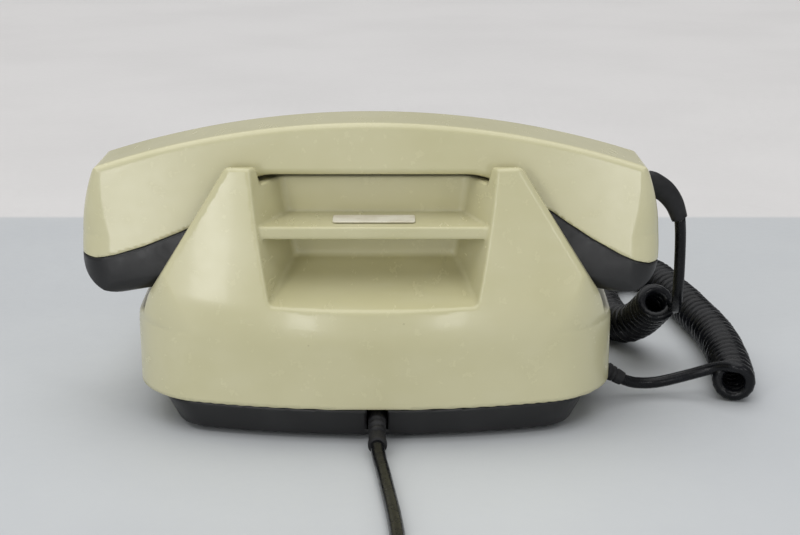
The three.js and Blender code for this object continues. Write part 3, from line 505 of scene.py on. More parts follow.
def outer_walls(x, y, z, bottom):
    """The body's closed outside, before the trough and the niche are taken out."""
    ax = np.abs(x)
    bulge = end_bulge(x)
    swell = y ** 2 / (2 * SIDE_RADIUS)
    upright = ax + swell - HALF_WIDTH
    shoulder_rise = (SHELL_TOP - SHOULDER, HALF_WIDTH - SHOULDER_HALF)
    shoulder = plane(ax + 0.4 * swell, z, (HALF_WIDTH, SHOULDER), shoulder_rise)
    side = meet(upright, shoulder, 16, 0.846)
    back_low = y + bulge - HALF_DEPTH
    back_rise = (SHELL_TOP - BACK_LEAN_Z, BACK_LOW_Y - BACK_TOP_Y)
    back_high = plane(y + 0.9 * bulge, z, (BACK_LOW_Y, BACK_LEAN_Z), back_rise)
    back = meet(back_low, back_high, 60, 0.957)
    front_low = -y + bulge - HALF_DEPTH
    slope = plane(y, z, (SLOPE_Y, SLOPE_Z), (-math.sin(SLOPE), math.cos(SLOPE)))
    front = meet(front_low, slope, 10, math.sin(SLOPE))
    lift = np.clip((z - SHOULDER) / 20, 0, 1)
    body = meet(side, back, 22 - 20 * lift)
    body = meet(body, front, 20 - 14 * lift)
    body = meet(body, z - SHELL_TOP, 1.3)
    return meet(body, bottom - z, 0.9)


def trough(x, y, z):
    """The space the handset lies in (negative inside)."""
    ax = np.abs(x)
    low_cheek = plane(ax, z, (61, TROUGH_LEDGE), (29, 4))
    high_cheek = plane(ax, z, (57.2, 76), (18, 7.2))
    block = meet(meet(low_cheek, high_cheek, 40, 0.97), z - PLATEAU, 12, 0.37)
    ledge = plane(ax, z, (60.5, TROUGH_LEDGE + 4), (-6.5, -34))
    space = meet(-block, ledge, 2)
    space = meet(space, TROUGH_FRONT - y, 2)
    return meet(space, y - TROUGH_BACK, 2)


def niche(x, y, z):
    """The shelf's place and the carrying recess, whose sides spread upward and outward (negative inside)."""
    above = z - SHELF_TOP
    half = NICHE_HALF + 0.155 * above + (0.35 + 0.0039 * above) * (y - NICHE_BACK)
    sides = (np.abs(x) - half) / 1.06
    floor = plane(y, z, (NICHE_BACK, NICHE_FLOOR), (-15.3, -55))
    space = meet(meet(sides, NICHE_BACK - y, 2), floor, 1.5)
    thick = (SHELF_TOP - SHELF_BOTTOM) / 2
    shelf = meet(np.abs(z - SHELF_TOP + thick) - thick, y - SHELF_EDGE, 0.9)
    return meet(space, -shelf, 1)


def dial_axes(x, y, z):
    """Coordinates on the dial's own axes: across, up the slope, and out of the face."""
    dy, dz = y - DIAL_Y, z - DIAL_Z
    c, s = math.cos(SLOPE), math.sin(SLOPE)
    return x, dy * c + dz * s, -dy * s + dz * c


def underside(x, y):
    """The opening inside the shell's lip (negative inside)."""
    return meet(np.abs(x) - (HALF_WIDTH - 14), np.abs(y) + end_bulge(x) - (HALF_DEPTH - 8), 12)


def body_field(x, y, z):
    """The hollow shell, with its openings for the dial, the plungers and the handset cord."""
    outside = outer_walls(x, y, z, SHELL_BOTTOM)
    inside = outer_walls(x, y, z, SHELL_BOTTOM - 60) + WALL
    bed, hollow = trough(x, y, z), niche(x, y, z)
    solid = meet(meet(outside, -bed, 1.7), -hollow, 1)
    cavity = np.maximum(np.maximum(inside, WALL - bed), WALL - hollow)
    cavity = np.maximum(cavity, SHELL_BOTTOM + LIP - z)
    mouth = np.maximum(underside(x, y), z - SHELL_BOTTOM - 2 * LIP)
    across, up, _ = dial_axes(x, y, z)
    solid = meet(solid, DIAL_HOLE - np.hypot(across, up), 1.2)
    holes = np.maximum(np.hypot(np.abs(x) - PLUNGER_X, y - PLUNGER_Y) - PLUNGER_HOLE, 80 - z)
    solid = meet(solid, -holes, 0.8)
    cord_way = np.maximum(np.abs(y - CORD_WAY_Y) - CORD_WAY_HALF, np.maximum(z - 18.6, x + 78))
    solid = meet(solid, -cord_way, 0.9)
    return meet(solid, -np.minimum(cavity, mouth), 0.8)


def add_body():
    shell = skin_piece("ivory_body", body_field, SHELL_LOW, SHELL_HIGH, 1.1)
    show_as(shell, "body_shell", "base", "ivory_plastic")


# ---------- base plate ----------

BASE_LOW, BASE_HIGH = box_mm("base_plate")
BASE_WALL, BASE_FLOOR = 2.6, 2.5


def base_walls(x, y, z, inset):
    """Tapered outside of the tray: it stands in from the shell, further at the sides than at the ends."""
    down = (BASE_HIGH[2] - z) / (BASE_HIGH[2] - BASE_LOW[2])
    side = np.abs(x) + y ** 2 / (2 * SIDE_RADIUS) - (HALF_WIDTH - inset - 10 - 6 * down)
    end = np.abs(y) + end_bulge(x) - (HALF_DEPTH - inset - 1.5 - 3.4 * down)
    return meet(side / 1.12, end / 1.04, 9)


def base_field(x, y, z):
    """The tray, with a notch for each cord."""
    outside = meet(base_walls(x, y, z, 0), BASE_LOW[2] - z, 1.2)
    outside = meet(outside, z - BASE_HIGH[2], 0.6)
    inside = np.maximum(base_walls(x, y, z, BASE_WALL), BASE_LOW[2] + BASE_FLOOR - z)
    line_way = np.maximum(np.abs(x + 1.3) - 4, np.maximum(4.6 - z, 60 - y))
    cord_way = np.maximum(np.abs(y - CORD_WAY_Y) - CORD_WAY_HALF, np.maximum(10 - z, 60 + x))
    tray = meet(outside, -inside, 0.9)
    return meet(meet(tray, -line_way, 0.7), -cord_way, 0.7)


def add_base():
    tray = skin_piece("black_base", base_field, BASE_LOW, BASE_HIGH, 1.3)
    show_as(tray, "base_plate", "base", "black_plastic")


# ---------- handset ----------

TOP_RADIUS = 346.0      # long curve of the handset's back
END_CURVE = 84.0        # curve of its two ends
END_WIDEST = 68.0       # height where the ends reach furthest out
LEAN_FROM = 62.0        # height where the sides start to lean in
GRIP_UNDER = 98.0       # height of the grip's underside
CAP_BOTTOM = (100.0, 50.8)              # a point on a cap's slanting underside: distance out, and height
CAP_HALF, TOP_HALF = 22.0, 14.5         # half width at the caps and at the top
ARCH_HALF = 61.2        # half the length of the open space under the grip
HANDSET_WALL = 2.6
STRIP_HALF, STRIP_END, STRIP_TOP = 12.6, 63.0, 100.7    # black strip let into the grip's underside
SEAM_GAP = 0.15         # from the parting line to each shell
SOUND_HOLE, SOUND_RING = 1.7, 9.0       # radius of a sound hole, and of the ring that six of them stand on
SOUND_TOP = 62.0        # the sound holes go no higher
SHELLS_LOW = 48.0       # below both caps
# Parting line of the two shells: distance from the handset's middle, and height. It climbs further at
# the mouthpiece, where x is low.
SEAM = np.array([
    [-125, 62.6], [-108.7, 63.4], [-102.8, 65.1], [-97.4, 67.4], [-86.5, 73.4], [-76.5, 79.8], [-70.6, 83.9],
    [-62, 88.5], [-57, 88.5], [-54.5, 60], [54.5, 60], [57, 83.8], [62, 81.2], [72.7, 76.6], [88, 70.6],
    [98.9, 67.4], [107, 65.8], [125, 66.6]])
CAPSULE_X = 86.0        # from the handset's middle to each ring of sound holes


def handset_walls(x, y, z):
    """The handset's closed outside: each pair of its faces meets with its own rounding."""
    ax, ay = np.abs(x - HANDSET_X), np.abs(y - HANDSET_Y)
    back = np.hypot(ax, z - (HANDSET_TOP - TOP_RADIUS)) - TOP_RADIUS
    end = np.hypot(np.maximum(ax - (HANDSET_END - END_CURVE), 0), z - END_WIDEST) - END_CURVE
    leaning = plane(ay, z, (CAP_HALF, LEAN_FROM), (HANDSET_TOP - LEAN_FROM, CAP_HALF - TOP_HALF))
    side = meet(leaning, ay - CAP_HALF, 60, 0.991)
    cap = plane(ax, z, CAP_BOTTOM, (-0.17, -0.985))
    corner = 13 - 10 * np.clip((z - 74) / 26, 0, 1)
    body = np.maximum(meet(end, side, corner), meet(end, cap, 18))
    body = np.maximum(body, meet(side, cap, 6))
    body = np.maximum(body, np.maximum(meet(end, back, 5, 0.68), meet(side, back, 2.4)))
    arch = meet(ax - ARCH_HALF, z - GRIP_UNDER, 24)
    return meet(body, -arch, 3)


def lower_space(x, y, z):
    """The part of the handset that belongs to its black lower shell (negative inside)."""
    below = z - np.interp(x - HANDSET_X, SEAM[:, 0], SEAM[:, 1])
    strip = np.maximum(np.abs(y - HANDSET_Y) - STRIP_HALF, np.abs(x - HANDSET_X) - STRIP_END)
    return np.minimum(below * 0.87, np.maximum(strip, z - STRIP_TOP))


def handset_upper_field(x, y, z):
    """The ivory shell, above the parting line."""
    walls = handset_walls(x, y, z)
    shell = meet(walls, -(walls + HANDSET_WALL), 0.5)
    return meet(shell, SEAM_GAP - lower_space(x, y, z), 0.4)


def handset_lower_field(x, y, z):
    """The black shell, below the parting line, with sound holes in both caps."""
    walls = handset_walls(x, y, z)
    shell = meet(walls, -(walls + HANDSET_WALL), 0.5)
    shell = meet(shell, lower_space(x, y, z) + SEAM_GAP, 0.4)
    across, along = np.abs(x - HANDSET_X) - CAPSULE_X, y - HANDSET_Y
    sieve = np.hypot(across, along)
    for i in range(6):
        angle = math.pi * i / 3
        hole = np.hypot(across - SOUND_RING * math.cos(angle), along - SOUND_RING * math.sin(angle))
        sieve = np.minimum(sieve, hole)
    holes = np.maximum(sieve - SOUND_HOLE, z - SOUND_TOP)
    return meet(shell, -holes, 0.5)


def add_handset():
    """Both shells, each looked for only at the heights where it can be."""
    low, high = HANDSET_LOW.copy(), HANDSET_HIGH
    low[2] = SHELLS_LOW
    cell = 0.9
    upper = skin_piece("handset_ivory", handset_upper_field, low + [0, 0, 12], high, cell)
    lower = skin_piece("handset_black", handset_lower_field, low, high - [0, 0, 14], cell)
    show_as(upper, "handset_upper", "handset", "ivory_plastic")
    show_as(lower, "handset_lower", "handset", "black_plastic")


# ---------- cords ----------

SPLINE_STEPS = 24       # fine steps between two of a route's points
WIRE = 4.7              # across the handset cord's sheath
CURL = 6.5              # from the curl's axis to the wire's
PITCH = 5.0
CURL_Z = 8.95           # the curl's axis where it lies on the table
TURN_SAMPLES = 16       # points in each turn of the curl
LINE = 5.3              # across the line cord's sheath
TURN_RADII = (34.2, 28.8, 23.4)         # the wound line cord's turns in each layer
TURN_HEIGHTS = (2.75, 8.1, 13.45)
COIL_SAMPLES = 24       # points in each of those turns
RING_X, RING_Y = 24.5, 252.0            # their middle


def spline(points, spacing):
    """Smooth curve through the points, cut into even steps."""
    points = np.asarray(points, float)
    padded = np.vstack([2 * points[0] - points[1], points, 2 * points[-1] - points[-2]])
    t = np.linspace(0, 1, SPLINE_STEPS, endpoint=False)[:, None]
    runs = []
    for a, b, c, d in zip(padded, padded[1:], padded[2:], padded[3:]):
        runs.append(b + 0.5 * t * (c - a + t * (2 * a - 5 * b + 4 * c - d + t * (3 * (b - c) + d - a))))
    return even_steps(np.vstack(runs + [points[-1:]]), spacing)


def even_steps(points, spacing):
    """Points at even distances along a path, about spacing apart."""
    length = np.concatenate([[0], np.cumsum(np.linalg.norm(np.diff(points, axis=0), axis=1))])
    count = max(2, int(round(length[-1] / spacing)) + 1)
    wanted = np.linspace(0, length[-1], count)
    return np.stack([np.interp(wanted, length, points[:, i]) for i in range(3)], axis=1)


def frames(path):
    """Tangent and two steady cross directions at each point of a path."""
    tangent = np.gradient(path, axis=0)
    tangent /= np.linalg.norm(tangent, axis=1, keepdims=True)
    side = np.cross(tangent[0], (0, 0, 1))
    if np.linalg.norm(side) < 0.1:
        side = np.cross(tangent[0], (0, 1, 0))
    sides = []
    for t in tangent:
        side = side - t * np.dot(side, t)
        side = side / np.linalg.norm(side)
        sides.append(side)
    sides = np.array(sides)
    return tangent, sides, np.cross(tangent, sides)


def sweep(name, path, radii, around, squash=1.0):
    """Closed tube along a path, with a radius at each point; squash makes its section oval."""
    radii = np.broadcast_to(np.asarray(radii, float), len(path))
    _, side, other = frames(path)
    angle = 2 * np.pi * np.arange(around) / around
    flat = np.cos(angle)[None, :, None] * side[:, None, :]
    tall = squash * np.sin(angle)[None, :, None] * other[:, None, :]
    points = (path[:, None, :] + radii[:, None, None] * (flat + tall)).reshape(-1, 3)
    i = np.arange(len(path) - 1)[:, None] * around
    j = np.arange(around)[None, :]
    k = (j + 1) % around
    faces = np.stack([i + j, i + k, i + around + k, i + around + j], axis=-1).reshape(-1, 4).tolist()
    faces.append(list(range(around))[::-1])
    faces.append([len(points) - around + n for n in range(around)])
    return add_mesh(name, points, faces)


# Routes where the cords are not coiled: from the handset, the curl's axis down to the table and along
# it, back up to the telephone's side, and the line cord's run to its turns.
HANDSET_TAIL = [(-123.2, 40.2, 76), (-124.1, 38.6, 70), (-124.7, 37, 62), (-125, 36, 50), (-125.2, 34, 42),
                (-126.0, 29, 35.6), (-126.8, 21.5, 31)]
CURL_DROP = [(-120, 14, 31.5), (-119.5, 5, 26), (-117, -9, 16.6), (-112.4, -18.4, 11), (-108.4, -31, CURL_Z)]
CURL_LYING = [(-106.5, -50), (-106.5, -70), (-109, -90), (-116, -105), (-126, -111), (-136, -106),
              (-140.4, -93), (-142, -78), (-145.4, -60), (-148, -38), (-150.3, -18), (-151, 1),
              (-150.3, 19.7), (-148.5, 39.9), (-146.7, 52.3)]
CURL_AXIS = CURL_DROP + [(x, y, CURL_Z) for x, y in CURL_LYING]
BASE_LEAD = [(-143, 48.4, 14.4), (-138.4, 45.6, 12.4), (-129, 44, 9), (-117, 44, 6), (-108, 46, 6.4),
             (-102.4, 47.8, 8.4), (-98, 48.3, 10.9)]
LINE_RUN = [(-1.4, 104, 5.2), (-1.6, 110, 4.4), (-2.3, 117, 3.3), (-3.6, 126, 2.75), (-5.7, 144.8, 2.75),
            (-7.6, 162, 2.75), (-9.1, 180.2, 2.75), (-9.6, 198, 2.75), (-9.7, 216, 2.75), (-9.7, 238, 2.75)]
PLUG_ENTRY = (51.0, RING_Y + 34.3, 8.2)
PLUG_START, PLUG_LENGTH = 49.0, 34.0
GROOVES_MIDDLE, GROOVES_REACH = 20.0, 8.0       # along the plug
GROOVE_PITCH, GROOVE_HALF, GROOVE_DEPTH = 3.2, 0.7, 0.7


def curl_path():
    """The wire's path round the curl: it starts on the outer side and ends on top."""
    spacing = 0.5
    axis = spline(CURL_AXIS, spacing)
    _, side, other = frames(axis)
    turns = round(spacing * (len(axis) - 1) / PITCH)
    outward = np.array([-1.0, 0, 0])
    start = math.atan2(np.dot(other[0], outward), np.dot(side[0], outward))
    finish = math.atan2(other[-1][2], side[-1][2])
    whole = 2 * math.pi * turns + (finish - start) % (2 * math.pi)
    samples = np.linspace(0, 1, turns * TURN_SAMPLES + 1)
    angle = start + whole * samples
    index = samples * (len(axis) - 1)

    def pick(rows):
        """The rows' values at each sample, between the axis's own points."""
        return np.stack([np.interp(index, np.arange(len(rows)), rows[:, i]) for i in range(3)], axis=1)

    around = np.cos(angle)[:, None] * pick(side) + np.sin(angle)[:, None] * pick(other)
    return pick(axis) + CURL * around


def path_length(path):
    """A path's length in metres."""
    return float(np.linalg.norm(np.diff(path, axis=0), axis=1).sum()) * MM


def add_handset_cord():
    curl = curl_path()
    tail = spline(HANDSET_TAIL + [tuple(curl[0])], 2.5)[:-1]
    lead = spline([tuple(curl[-1])] + BASE_LEAD, 2.5)[1:]
    path = np.vstack([tail, curl, lead])
    piece = sweep("curled_handset_cord", path, WIRE / 2, 10)
    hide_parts("handset_cord_tail", "handset_cord_curl", "handset_cord_lead")
    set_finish(piece, "cord_plastic")
    return piece, path


def coil_path():
    """The line cord's path: its run, then turns that lie beside and on each other, and out to the plug."""
    run = spline(LINE_RUN, 5)
    turns = []
    for layer, height in enumerate(TURN_HEIGHTS):
        radii = TURN_RADII if layer % 2 == 0 else TURN_RADII[::-1]
        turns += [(radius, height) for radius in radii]
    turns.append((TURN_RADII[0], TURN_HEIGHTS[2]))
    points = []
    for i in range(1, int((len(turns) - 1 + 0.25) * COIL_SAMPLES) + 1):
        share = i / COIL_SAMPLES
        now = int(share)
        after = min(now + 1, len(turns) - 1)
        ease = np.clip((share - now - 0.7) / 0.3, 0, 1)
        ease = ease * ease * (3 - 2 * ease)
        radius = turns[now][0] + (turns[after][0] - turns[now][0]) * ease
        height = turns[now][1] + (turns[after][1] - turns[now][1]) * ease
        angle = math.pi - 2 * math.pi * share
        points.append((RING_X + radius * math.cos(angle), RING_Y + radius * math.sin(angle), height))
    last_x, last_y = points[-1][:2]
    drop = [(last_x + 8, last_y, 12.2), (last_x + 17, last_y, 9.6), PLUG_ENTRY]
    return np.vstack([run, points, drop])


def add_line_cord():
    path = coil_path()
    piece = sweep("line_cord_wound", path, LINE / 2, 12)
    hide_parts("line_cord", "line_cord_coil")
    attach(piece, "base")
    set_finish(piece, "cord_plastic")
    return piece, path


def add_boots():
    """Strain reliefs: tapered sleeves where a cord leaves its housing, two with grooves to let them bend."""
    handset_route = spline([(-109.4, 42, 90), (-111.6, 42, 89.5), (-116.5, 41.5, 86.5), (-120.5, 41, 81.5),
                            (-123.2, 40, 75.1)], 0.5)
    share = np.linspace(0, 1, len(handset_route))
    handset_boot = sweep("handset_cord_sleeve", handset_route, 4.0 - 1.45 * share, 24, 1.3)

    line_route = spline([(-1.3, 82, 8.5), (-1.3, 93, 8.5), (-1.3, 98, 7.2), (-1.4, 102.4, 5.5),
                         (-1.6, 109, 4.6)], 0.35)
    share = np.linspace(0, 1, len(line_route))
    cuts = 0.7 * (np.sin(2 * np.pi * line_route[:, 1] / 2.8) > 0.2) * (share < 0.78) * (share > 0.45)
    line_boot = sweep("line_cord_sleeve", line_route, 3.7 - 0.5 * share - cuts + 0.4 * (share > 0.92), 24)

    base_line = [(-77, 15), (-84, 15), (-93, 13.4), (-97, 11.5), (-101.4, 9.0)]
    base_route = spline([(x, CORD_WAY_Y, z) for x, z in base_line], 0.35)
    share = np.linspace(0, 1, len(base_route))
    cuts = 0.5 * (np.sin(2 * np.pi * share * 12) > 0.3) * (share > 0.6) * (share < 0.9)
    base_boot = sweep("base_cord_sleeve", base_route, 4.15 - 1.35 * share ** 2 - cuts, 24)
    show_as(handset_boot, "handset_cord_boot", "handset", "rubber")
    show_as(line_boot, "line_cord_boot", "base", "rubber")
    show_as(base_boot, "base_cord_boot", "base", "rubber")
    return handset_boot, line_boot, base_boot


def plug_field(x, y, z):
    """The plug's grip, which widens from the cord to its face, with grooves for the fingers."""
    along = x - PLUG_START
    across, up = np.abs(y - PLUG_ENTRY[1]), np.abs(z - PLUG_ENTRY[2])
    half = np.interp(along, [0, 6, 16, 28, PLUG_LENGTH], [4.4, 5.2, 9.5, 11.9, 11.9])
    tall = np.interp(along, [0, 6, 16, PLUG_LENGTH], [4.2, 4.8, 7.0, 7.4])
    block = meet(across - half, up - tall, 4)
    block = meet(block, along - PLUG_LENGTH, 1.4)
    block = meet(block, -along, 0.8)
    from_middle = along - GROOVES_MIDDLE
    groove = np.abs(from_middle % GROOVE_PITCH - GROOVE_PITCH / 2) - GROOVE_HALF
    groove = np.maximum(groove, np.abs(from_middle) - GROOVES_REACH)
    dip = np.maximum(tall - GROOVE_DEPTH - up, np.maximum(2.2 - up, groove))
    return meet(block, -dip, 0.4)


def add_plug():
    low, high = box_mm("line_plug")
    return show_as(skin_piece("line_cord_plug", plug_field, low, high, 0.7), "line_plug", "base", "rubber")


def declare_cords(cord, path, line_path, pins):
    """Bakes the handset cord's place into its mesh, and works out both routes' lengths and points in metres
    without keeping them. The pins passed in are not used.
    """
    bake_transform(cord)
    path_length(path)
    [tuple(p) for p in path[::-1] * MM]
    path_length(line_path)
    [tuple(p) for p in line_path * MM]


# ---------- dial ----------

DIAL_PLACE = Matrix.Translation((0, DIAL_Y * MM, DIAL_Z * MM)) @ Matrix.Rotation(SLOPE, 4, "X")
WHEEL_RADIUS, WHEEL_LOW, WHEEL_THICK = 38.0, 5.2, 2.4
HUB_RADIUS, HUB_LOW = 7.0, 2.6
HOLE_RADIUS, HOLE_CIRCLE, HOLE_PITCH = 6.2, 28.6, math.pi / 6
DIGIT_SIZE, DIGIT_THICK, DIGIT_Z = 8.5, 0.04, 2.4


def softened(profile, radius):
    """A closed profile with each of its corners off the axis rounded in three steps."""
    out = []
    count = len(profile)
    for i, corner in enumerate(profile):
        corner = np.array(corner, float)
        before = np.array(profile[i - 1]) - corner
        after = np.array(profile[(i + 1) % count]) - corner
        reach = min(radius, 0.45 * np.linalg.norm(before), 0.45 * np.linalg.norm(after))
        if corner[0] < 0.01:
            out.append(corner)
            continue
        start = corner + reach * before / np.linalg.norm(before)
        end = corner + reach * after / np.linalg.norm(after)
        for t in np.linspace(0, 1, 4):
            out.append((1 - t) ** 2 * start + 2 * t * (1 - t) * corner + t ** 2 * end)
    return np.array(out)


def turned(name, profile, radius, place, around):
    """A turned piece: a closed profile of [radius, height] carried round the axis, corners softened."""
    ring = softened(profile, radius)
    angle = 2 * np.pi * np.arange(around) / around
    x, y = np.outer(np.cos(angle), ring[:, 0]), np.outer(np.sin(angle), ring[:, 0])
    points = np.stack([x, y, np.tile(ring[:, 1], (around, 1))], axis=-1).reshape(-1, 3)
    count = len(ring)
    i = np.arange(around)[:, None] * count
    onward = (np.arange(around)[:, None] + 1) % around * count
    j = np.arange(count)[None, :]
    k = (j + 1) % count
    faces = np.stack([i + j, onward + j, onward + k, i + k], axis=-1).reshape(-1, 4).tolist()
    piece = add_mesh(name, points, faces)
    weld(piece)
    piece.data.transform(place)
    return piece


def weld(piece):
    """Joins corners that lie in one place, and turns every face outward."""
    work = bmesh.new()
    work.from_mesh(piece.data)
    bmesh.ops.remove_doubles(work, verts=work.verts, dist=1e-6)
    bmesh.ops.dissolve_degenerate(work, edges=work.edges, dist=1e-7)
    bmesh.ops.recalc_face_normals(work, faces=work.faces)
    work.to_mesh(piece.data)
    work.free()


def wheel_field(x, y, z):
    """The finger wheel: a disc with ten of twelve places round it open, and a hub underneath."""
    across, up, out = dial_axes(x, y, z)
    r = np.hypot(across, up)
    disc = meet(r - WHEEL_RADIUS, np.abs(out - WHEEL_LOW - WHEEL_THICK / 2) - WHEEL_THICK / 2, 0.9)
    hub = np.maximum(r - HUB_RADIUS, np.maximum(HUB_LOW - out, out - WHEEL_LOW - 1))
    angle = np.round(np.arctan2(up, across) / HOLE_PITCH) * HOLE_PITCH
    finger = np.hypot(across - HOLE_CIRCLE * np.cos(angle), up - HOLE_CIRCLE * np.sin(angle)) - HOLE_RADIUS
    blank = np.abs(np.mod(angle + 0.1, 2 * np.pi) - 0.1)
    gap = np.minimum(blank, np.abs(blank - 11 * HOLE_PITCH)) < 0.2
    finger = np.where(gap, 9.0, finger)
    wheel = meet(unite(disc, hub, 1), -finger, 0.9)
    return meet(wheel, 3.3 - r, 0.5)


def add_digit(digit):
    """A printed digit on the number ring: 1 stands at 30 degrees, and the rest follow anticlockwise."""
    angle = HOLE_PITCH * (digit or 10)
    curve = bpy.data.curves.new(f"digit_{digit}", "FONT")
    curve.body = str(digit)
    curve.size = DIGIT_SIZE * MM
    curve.extrude = DIGIT_THICK * MM
    curve.align_x = "CENTER"
    curve.align_y = "CENTER"
    text = new_object(curve.name, curve)
    mesh = bpy.data.meshes.new_from_object(text.evaluated_get(bpy.context.evaluated_depsgraph_get()))
    bpy.data.objects.remove(text)
    spot = Vector((HOLE_CIRCLE * math.cos(angle), HOLE_CIRCLE * math.sin(angle), DIGIT_Z)) * MM
    mesh.transform(DIAL_PLACE @ Matrix.Translation(spot))
    piece = new_object(f"number_{digit}", mesh)
    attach(piece, "base")
    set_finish(piece, "black_plastic")


# The finger stop, measured out from the dial's middle: its tip's round, its bent end, and half its width.
STOP_TIP, STOP_END, STOP_HALF = 29.1, 45.5, 3.5
STOP_ANGLE = -math.pi / 6


def stop_field(x, y, z):
    """A strip of metal with a round tip, bent down at its outer end."""
    across, up, out = dial_axes(x, y, z)
    c, s = math.cos(STOP_ANGLE), math.sin(STOP_ANGLE)
    along, side = across * c + up * s, up * c - across * s
    outline = np.maximum(np.hypot(np.minimum(along - STOP_TIP, 0), side) - STOP_HALF, along - STOP_END)
    plate = meet(outline, np.abs(out - 9.6) - 0.8, 0.5)
    foot = meet(np.abs(side) - STOP_HALF, np.abs(along - STOP_END + 0.9) - 0.9, 0.4)
    return unite(plate, meet(foot, np.abs(out - 7.4) - 2.8, 0.4), 0.9)


def add_dial():
    """The dial's pieces, each outline given as [radius, height] above the sloping face."""
    stop = skin_piece("bent_finger_stop", stop_field, *box_mm("finger_stop"), 0.35)
    show_as(stop, "finger_stop", "base", "bright_metal")
    wheel = skin_piece("black_finger_wheel", wheel_field, *box_mm("finger_wheel"), 0.6)
    show_as(wheel, "finger_wheel", "dial_wheel", "cord_plastic")
    outline = [[8, 0.6], [46, 0.6], [46, 3.2], [44, 4.3], [42, 2.5], [40.5, 2.25], [8, 2.2]]
    ring = turned("ivory_number_ring", outline, 0.5, DIAL_PLACE, 120)
    show_as(ring, "number_ring", "base", "ivory_plastic")
    outline = [[0, 8.6], [15.5, 8.6], [15, 9.8], [11, 10.6], [0, 10.9]]
    cover = turned("clear_card_cover", outline, 0.5, DIAL_PLACE, 96)
    show_as(cover, "dial_card_cover", "dial_wheel", "clear_plastic")
    outline = [[0, 7.9], [13, 7.9], [13, 8.3], [0, 8.3]]
    card = turned("blank_card", outline, 0.08, DIAL_PLACE, 96)
    show_as(card, "dial_card", "dial_wheel", "paper")
    outline = [[3.4, -9], [5.5, -9], [5.5, -7], [38.5, -7], [38.5, 0.3], [36.5, 0.3], [36.5, -5.4],
               [5.5, -5.4], [5.5, -3], [3.4, -3]]
    pan = turned("dial_pan", outline, 0.5, DIAL_PLACE, 96)
    show_as(pan, "dial_frame", "base", "phenolic")
    for digit in range(10):
        add_digit(digit)


# ---------- label, plug pins, plungers, feet, and the CAD pieces that still show ----------

FOOT_X, FOOT_Y = 62, 64
BEVEL_WIDTH = 0.22
BEVEL_ANGLE = math.radians(32)          # edges sharper than this are bevelled


def add_label():
    """The blank label on the shelf, with round corners."""
    low, high = box_mm("shelf_label")
    middle, half = (low + high) / 2, (high - low) / 2

    def label_field(x, y, z):
        outline = meet(np.abs(x - middle[0]) - half[0], np.abs(y - middle[1]) - half[1], 1.2)
        return meet(outline, np.abs(z - middle[2]) - half[2], 0.15)

    show_as(skin_piece("blank_shelf_label", label_field, low, high, 0.3), "shelf_label", "base", "paper")


def add_pins():
    """The plug's two round pins, with rounded tips."""
    pins = []
    for name in ("plug_pin_near", "plug_pin_far"):
        low, high = box_mm(name)
        middle, length = (low + high) / 2, high[0] - low[0]
        profile = [[0, 0], [2, 0], [2, length - 1.6], [1.4, length - 0.4], [0.6, length], [0, length]]
        place = Matrix.Translation((low[0] * MM, middle[1] * MM, middle[2] * MM))
        place = place @ Matrix.Rotation(math.pi / 2, 4, "Y")
        pins.append(show_as(turned(f"round_{name}", profile, 0.5, place, 36), name, "base", "brass"))
    return pins


def add_plungers():
    """The two buttons that the handset presses, each with a collar under the ridge."""
    profile = [[0, 80.2], [3, 80.2], [3, 82.6], [4.8, 82.6], [4.8, 84.2], [3, 84.2],
               [3, 96], [2, 97], [0, 97]]
    for side, name in ((1, "right"), (-1, "left")):
        place = Matrix.Translation((side * PLUNGER_X * MM, PLUNGER_Y * MM, 0))
        piece = turned(f"cradle_button_{name}", profile, 0.7, place, 40)
        show_as(piece, f"plunger_{name}", f"plunger_{name}", "cord_plastic")


def add_feet():
    """Rubber feet, each with a shallow round hollow in its pad."""
    profile = [[0, 0.4], [3, 0.4], [3.4, 0], [8.6, 0], [9.2, 0.7], [9.6, 1.7], [0, 1.7]]
    corners = (("front_right", 1, -1), ("front_left", -1, -1), ("back_right", 1, 1), ("back_left", -1, 1))
    for name, x, y in corners:
        place = Matrix.Translation((x * FOOT_X * MM, y * FOOT_Y * MM, 0))
        piece = turned(f"rubber_foot_{name}", profile, 0.3, place, 56)
        show_as(piece, f"foot_{name}", "base", "rubber")


def soften_frame():
    """The CAD pieces that still show take a fine bevel on their sharp edges."""
    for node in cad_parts.values():
        if node.hide_render:
            continue
        bevel = node.modifiers.new("edge", "BEVEL")
        bevel.width = BEVEL_WIDTH * MM
        bevel.segments = 2
        bevel.limit_method = "ANGLE"
        bevel.angle_limit = BEVEL_ANGLE


# ---------- camera, floor and light ----------

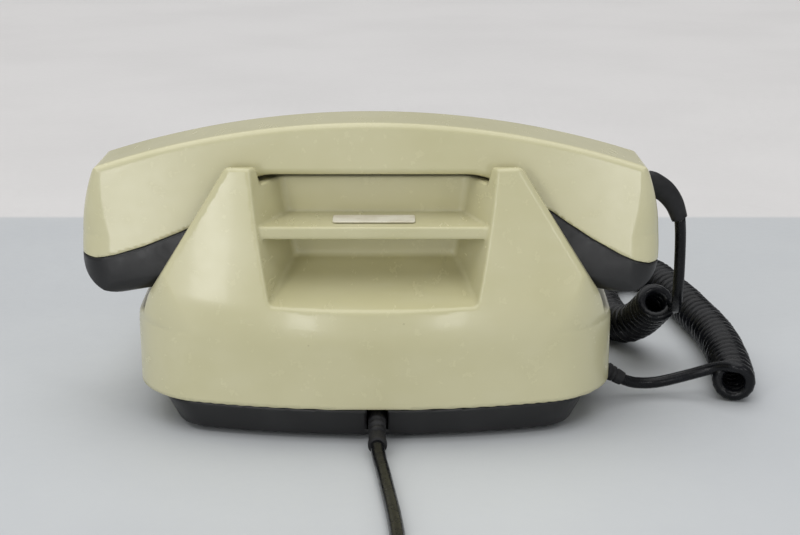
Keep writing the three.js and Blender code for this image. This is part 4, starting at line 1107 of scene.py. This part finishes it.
def add_camera():
    data = bpy.data.cameras.new("camera")
    data.lens = CAMERA_LENS
    camera = new_object("camera", data)
    camera.location = CAMERA_PLACE
    camera.rotation_euler = (math.pi / 2 - CAMERA_PITCH, 0, math.pi)
    bpy.context.scene.camera = camera


def add_lamp(name, place, height, size, power):
    """A soft rectangular lamp, aimed at the point that lies `height` above the origin."""
    data = bpy.data.lights.new(name, "AREA")
    data.shape = "RECTANGLE"
    data.size, data.size_y = size
    data.energy = power
    lamp = new_object(name, data)
    lamp.location = place
    lamp.rotation_euler = (Vector((0, 0, height)) - Vector(place)).to_track_quat("-Z", "Y").to_euler()


def add_floor():
    mesh = bpy.data.meshes.new("floor")
    corners = [(x * FLOOR_REACH, y * FLOOR_REACH, 0) for x, y in ((-1, -1), (1, -1), (1, 1), (-1, 1))]
    mesh.from_pydata(corners, [], [(0, 1, 2, 3)])
    floor = new_object("floor", mesh)
    floor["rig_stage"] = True
    return floor


def add_lights():
    """An even sky, a wide sun that stands for daylight from above, and four soft windows."""
    bpy.context.scene.view_settings.view_transform = "Standard"
    world = bpy.data.worlds.new("studio")
    bpy.context.scene.world = world
    world.use_nodes = True
    background = world.node_tree.nodes["Background"]
    background.inputs["Color"].default_value = (0.98, 0.99, 1.0, 1)
    background.inputs["Strength"].default_value = SKY_STRENGTH
    sky = bpy.data.lights.new("sky", "SUN")
    sky.energy = SUN_POWER
    sky.angle = SUN_SPREAD
    new_object("sky", sky).rotation_euler = SUN_LEAN
    add_lamp("window", (0.72, 1.15, 0.55), 0.06, (0.17, 0.5), 2.6)
    add_lamp("far_window", (-0.95, 1.0, 0.62), 0.06, (0.14, 0.45), 1.4)
    add_lamp("low_window", (0.34, 1.34, 0.16), 0.09, (0.13, 0.3), 1.2)
    add_lamp("far_low_window", (-0.33, 1.34, 0.2), 0.09, (0.13, 0.3), 1.2)


add_camera()
floor = add_floor()
add_lights()
cord, cord_path = add_handset_cord()
line, line_path = add_line_cord()
boots = add_boots()
plug = add_plug()
declare_cords(cord, cord_path, line_path, add_pins())
add_body()
add_base()
add_handset()
add_dial()
add_label()
add_plungers()
add_feet()
soften_frame()
apply_finishes(floor)
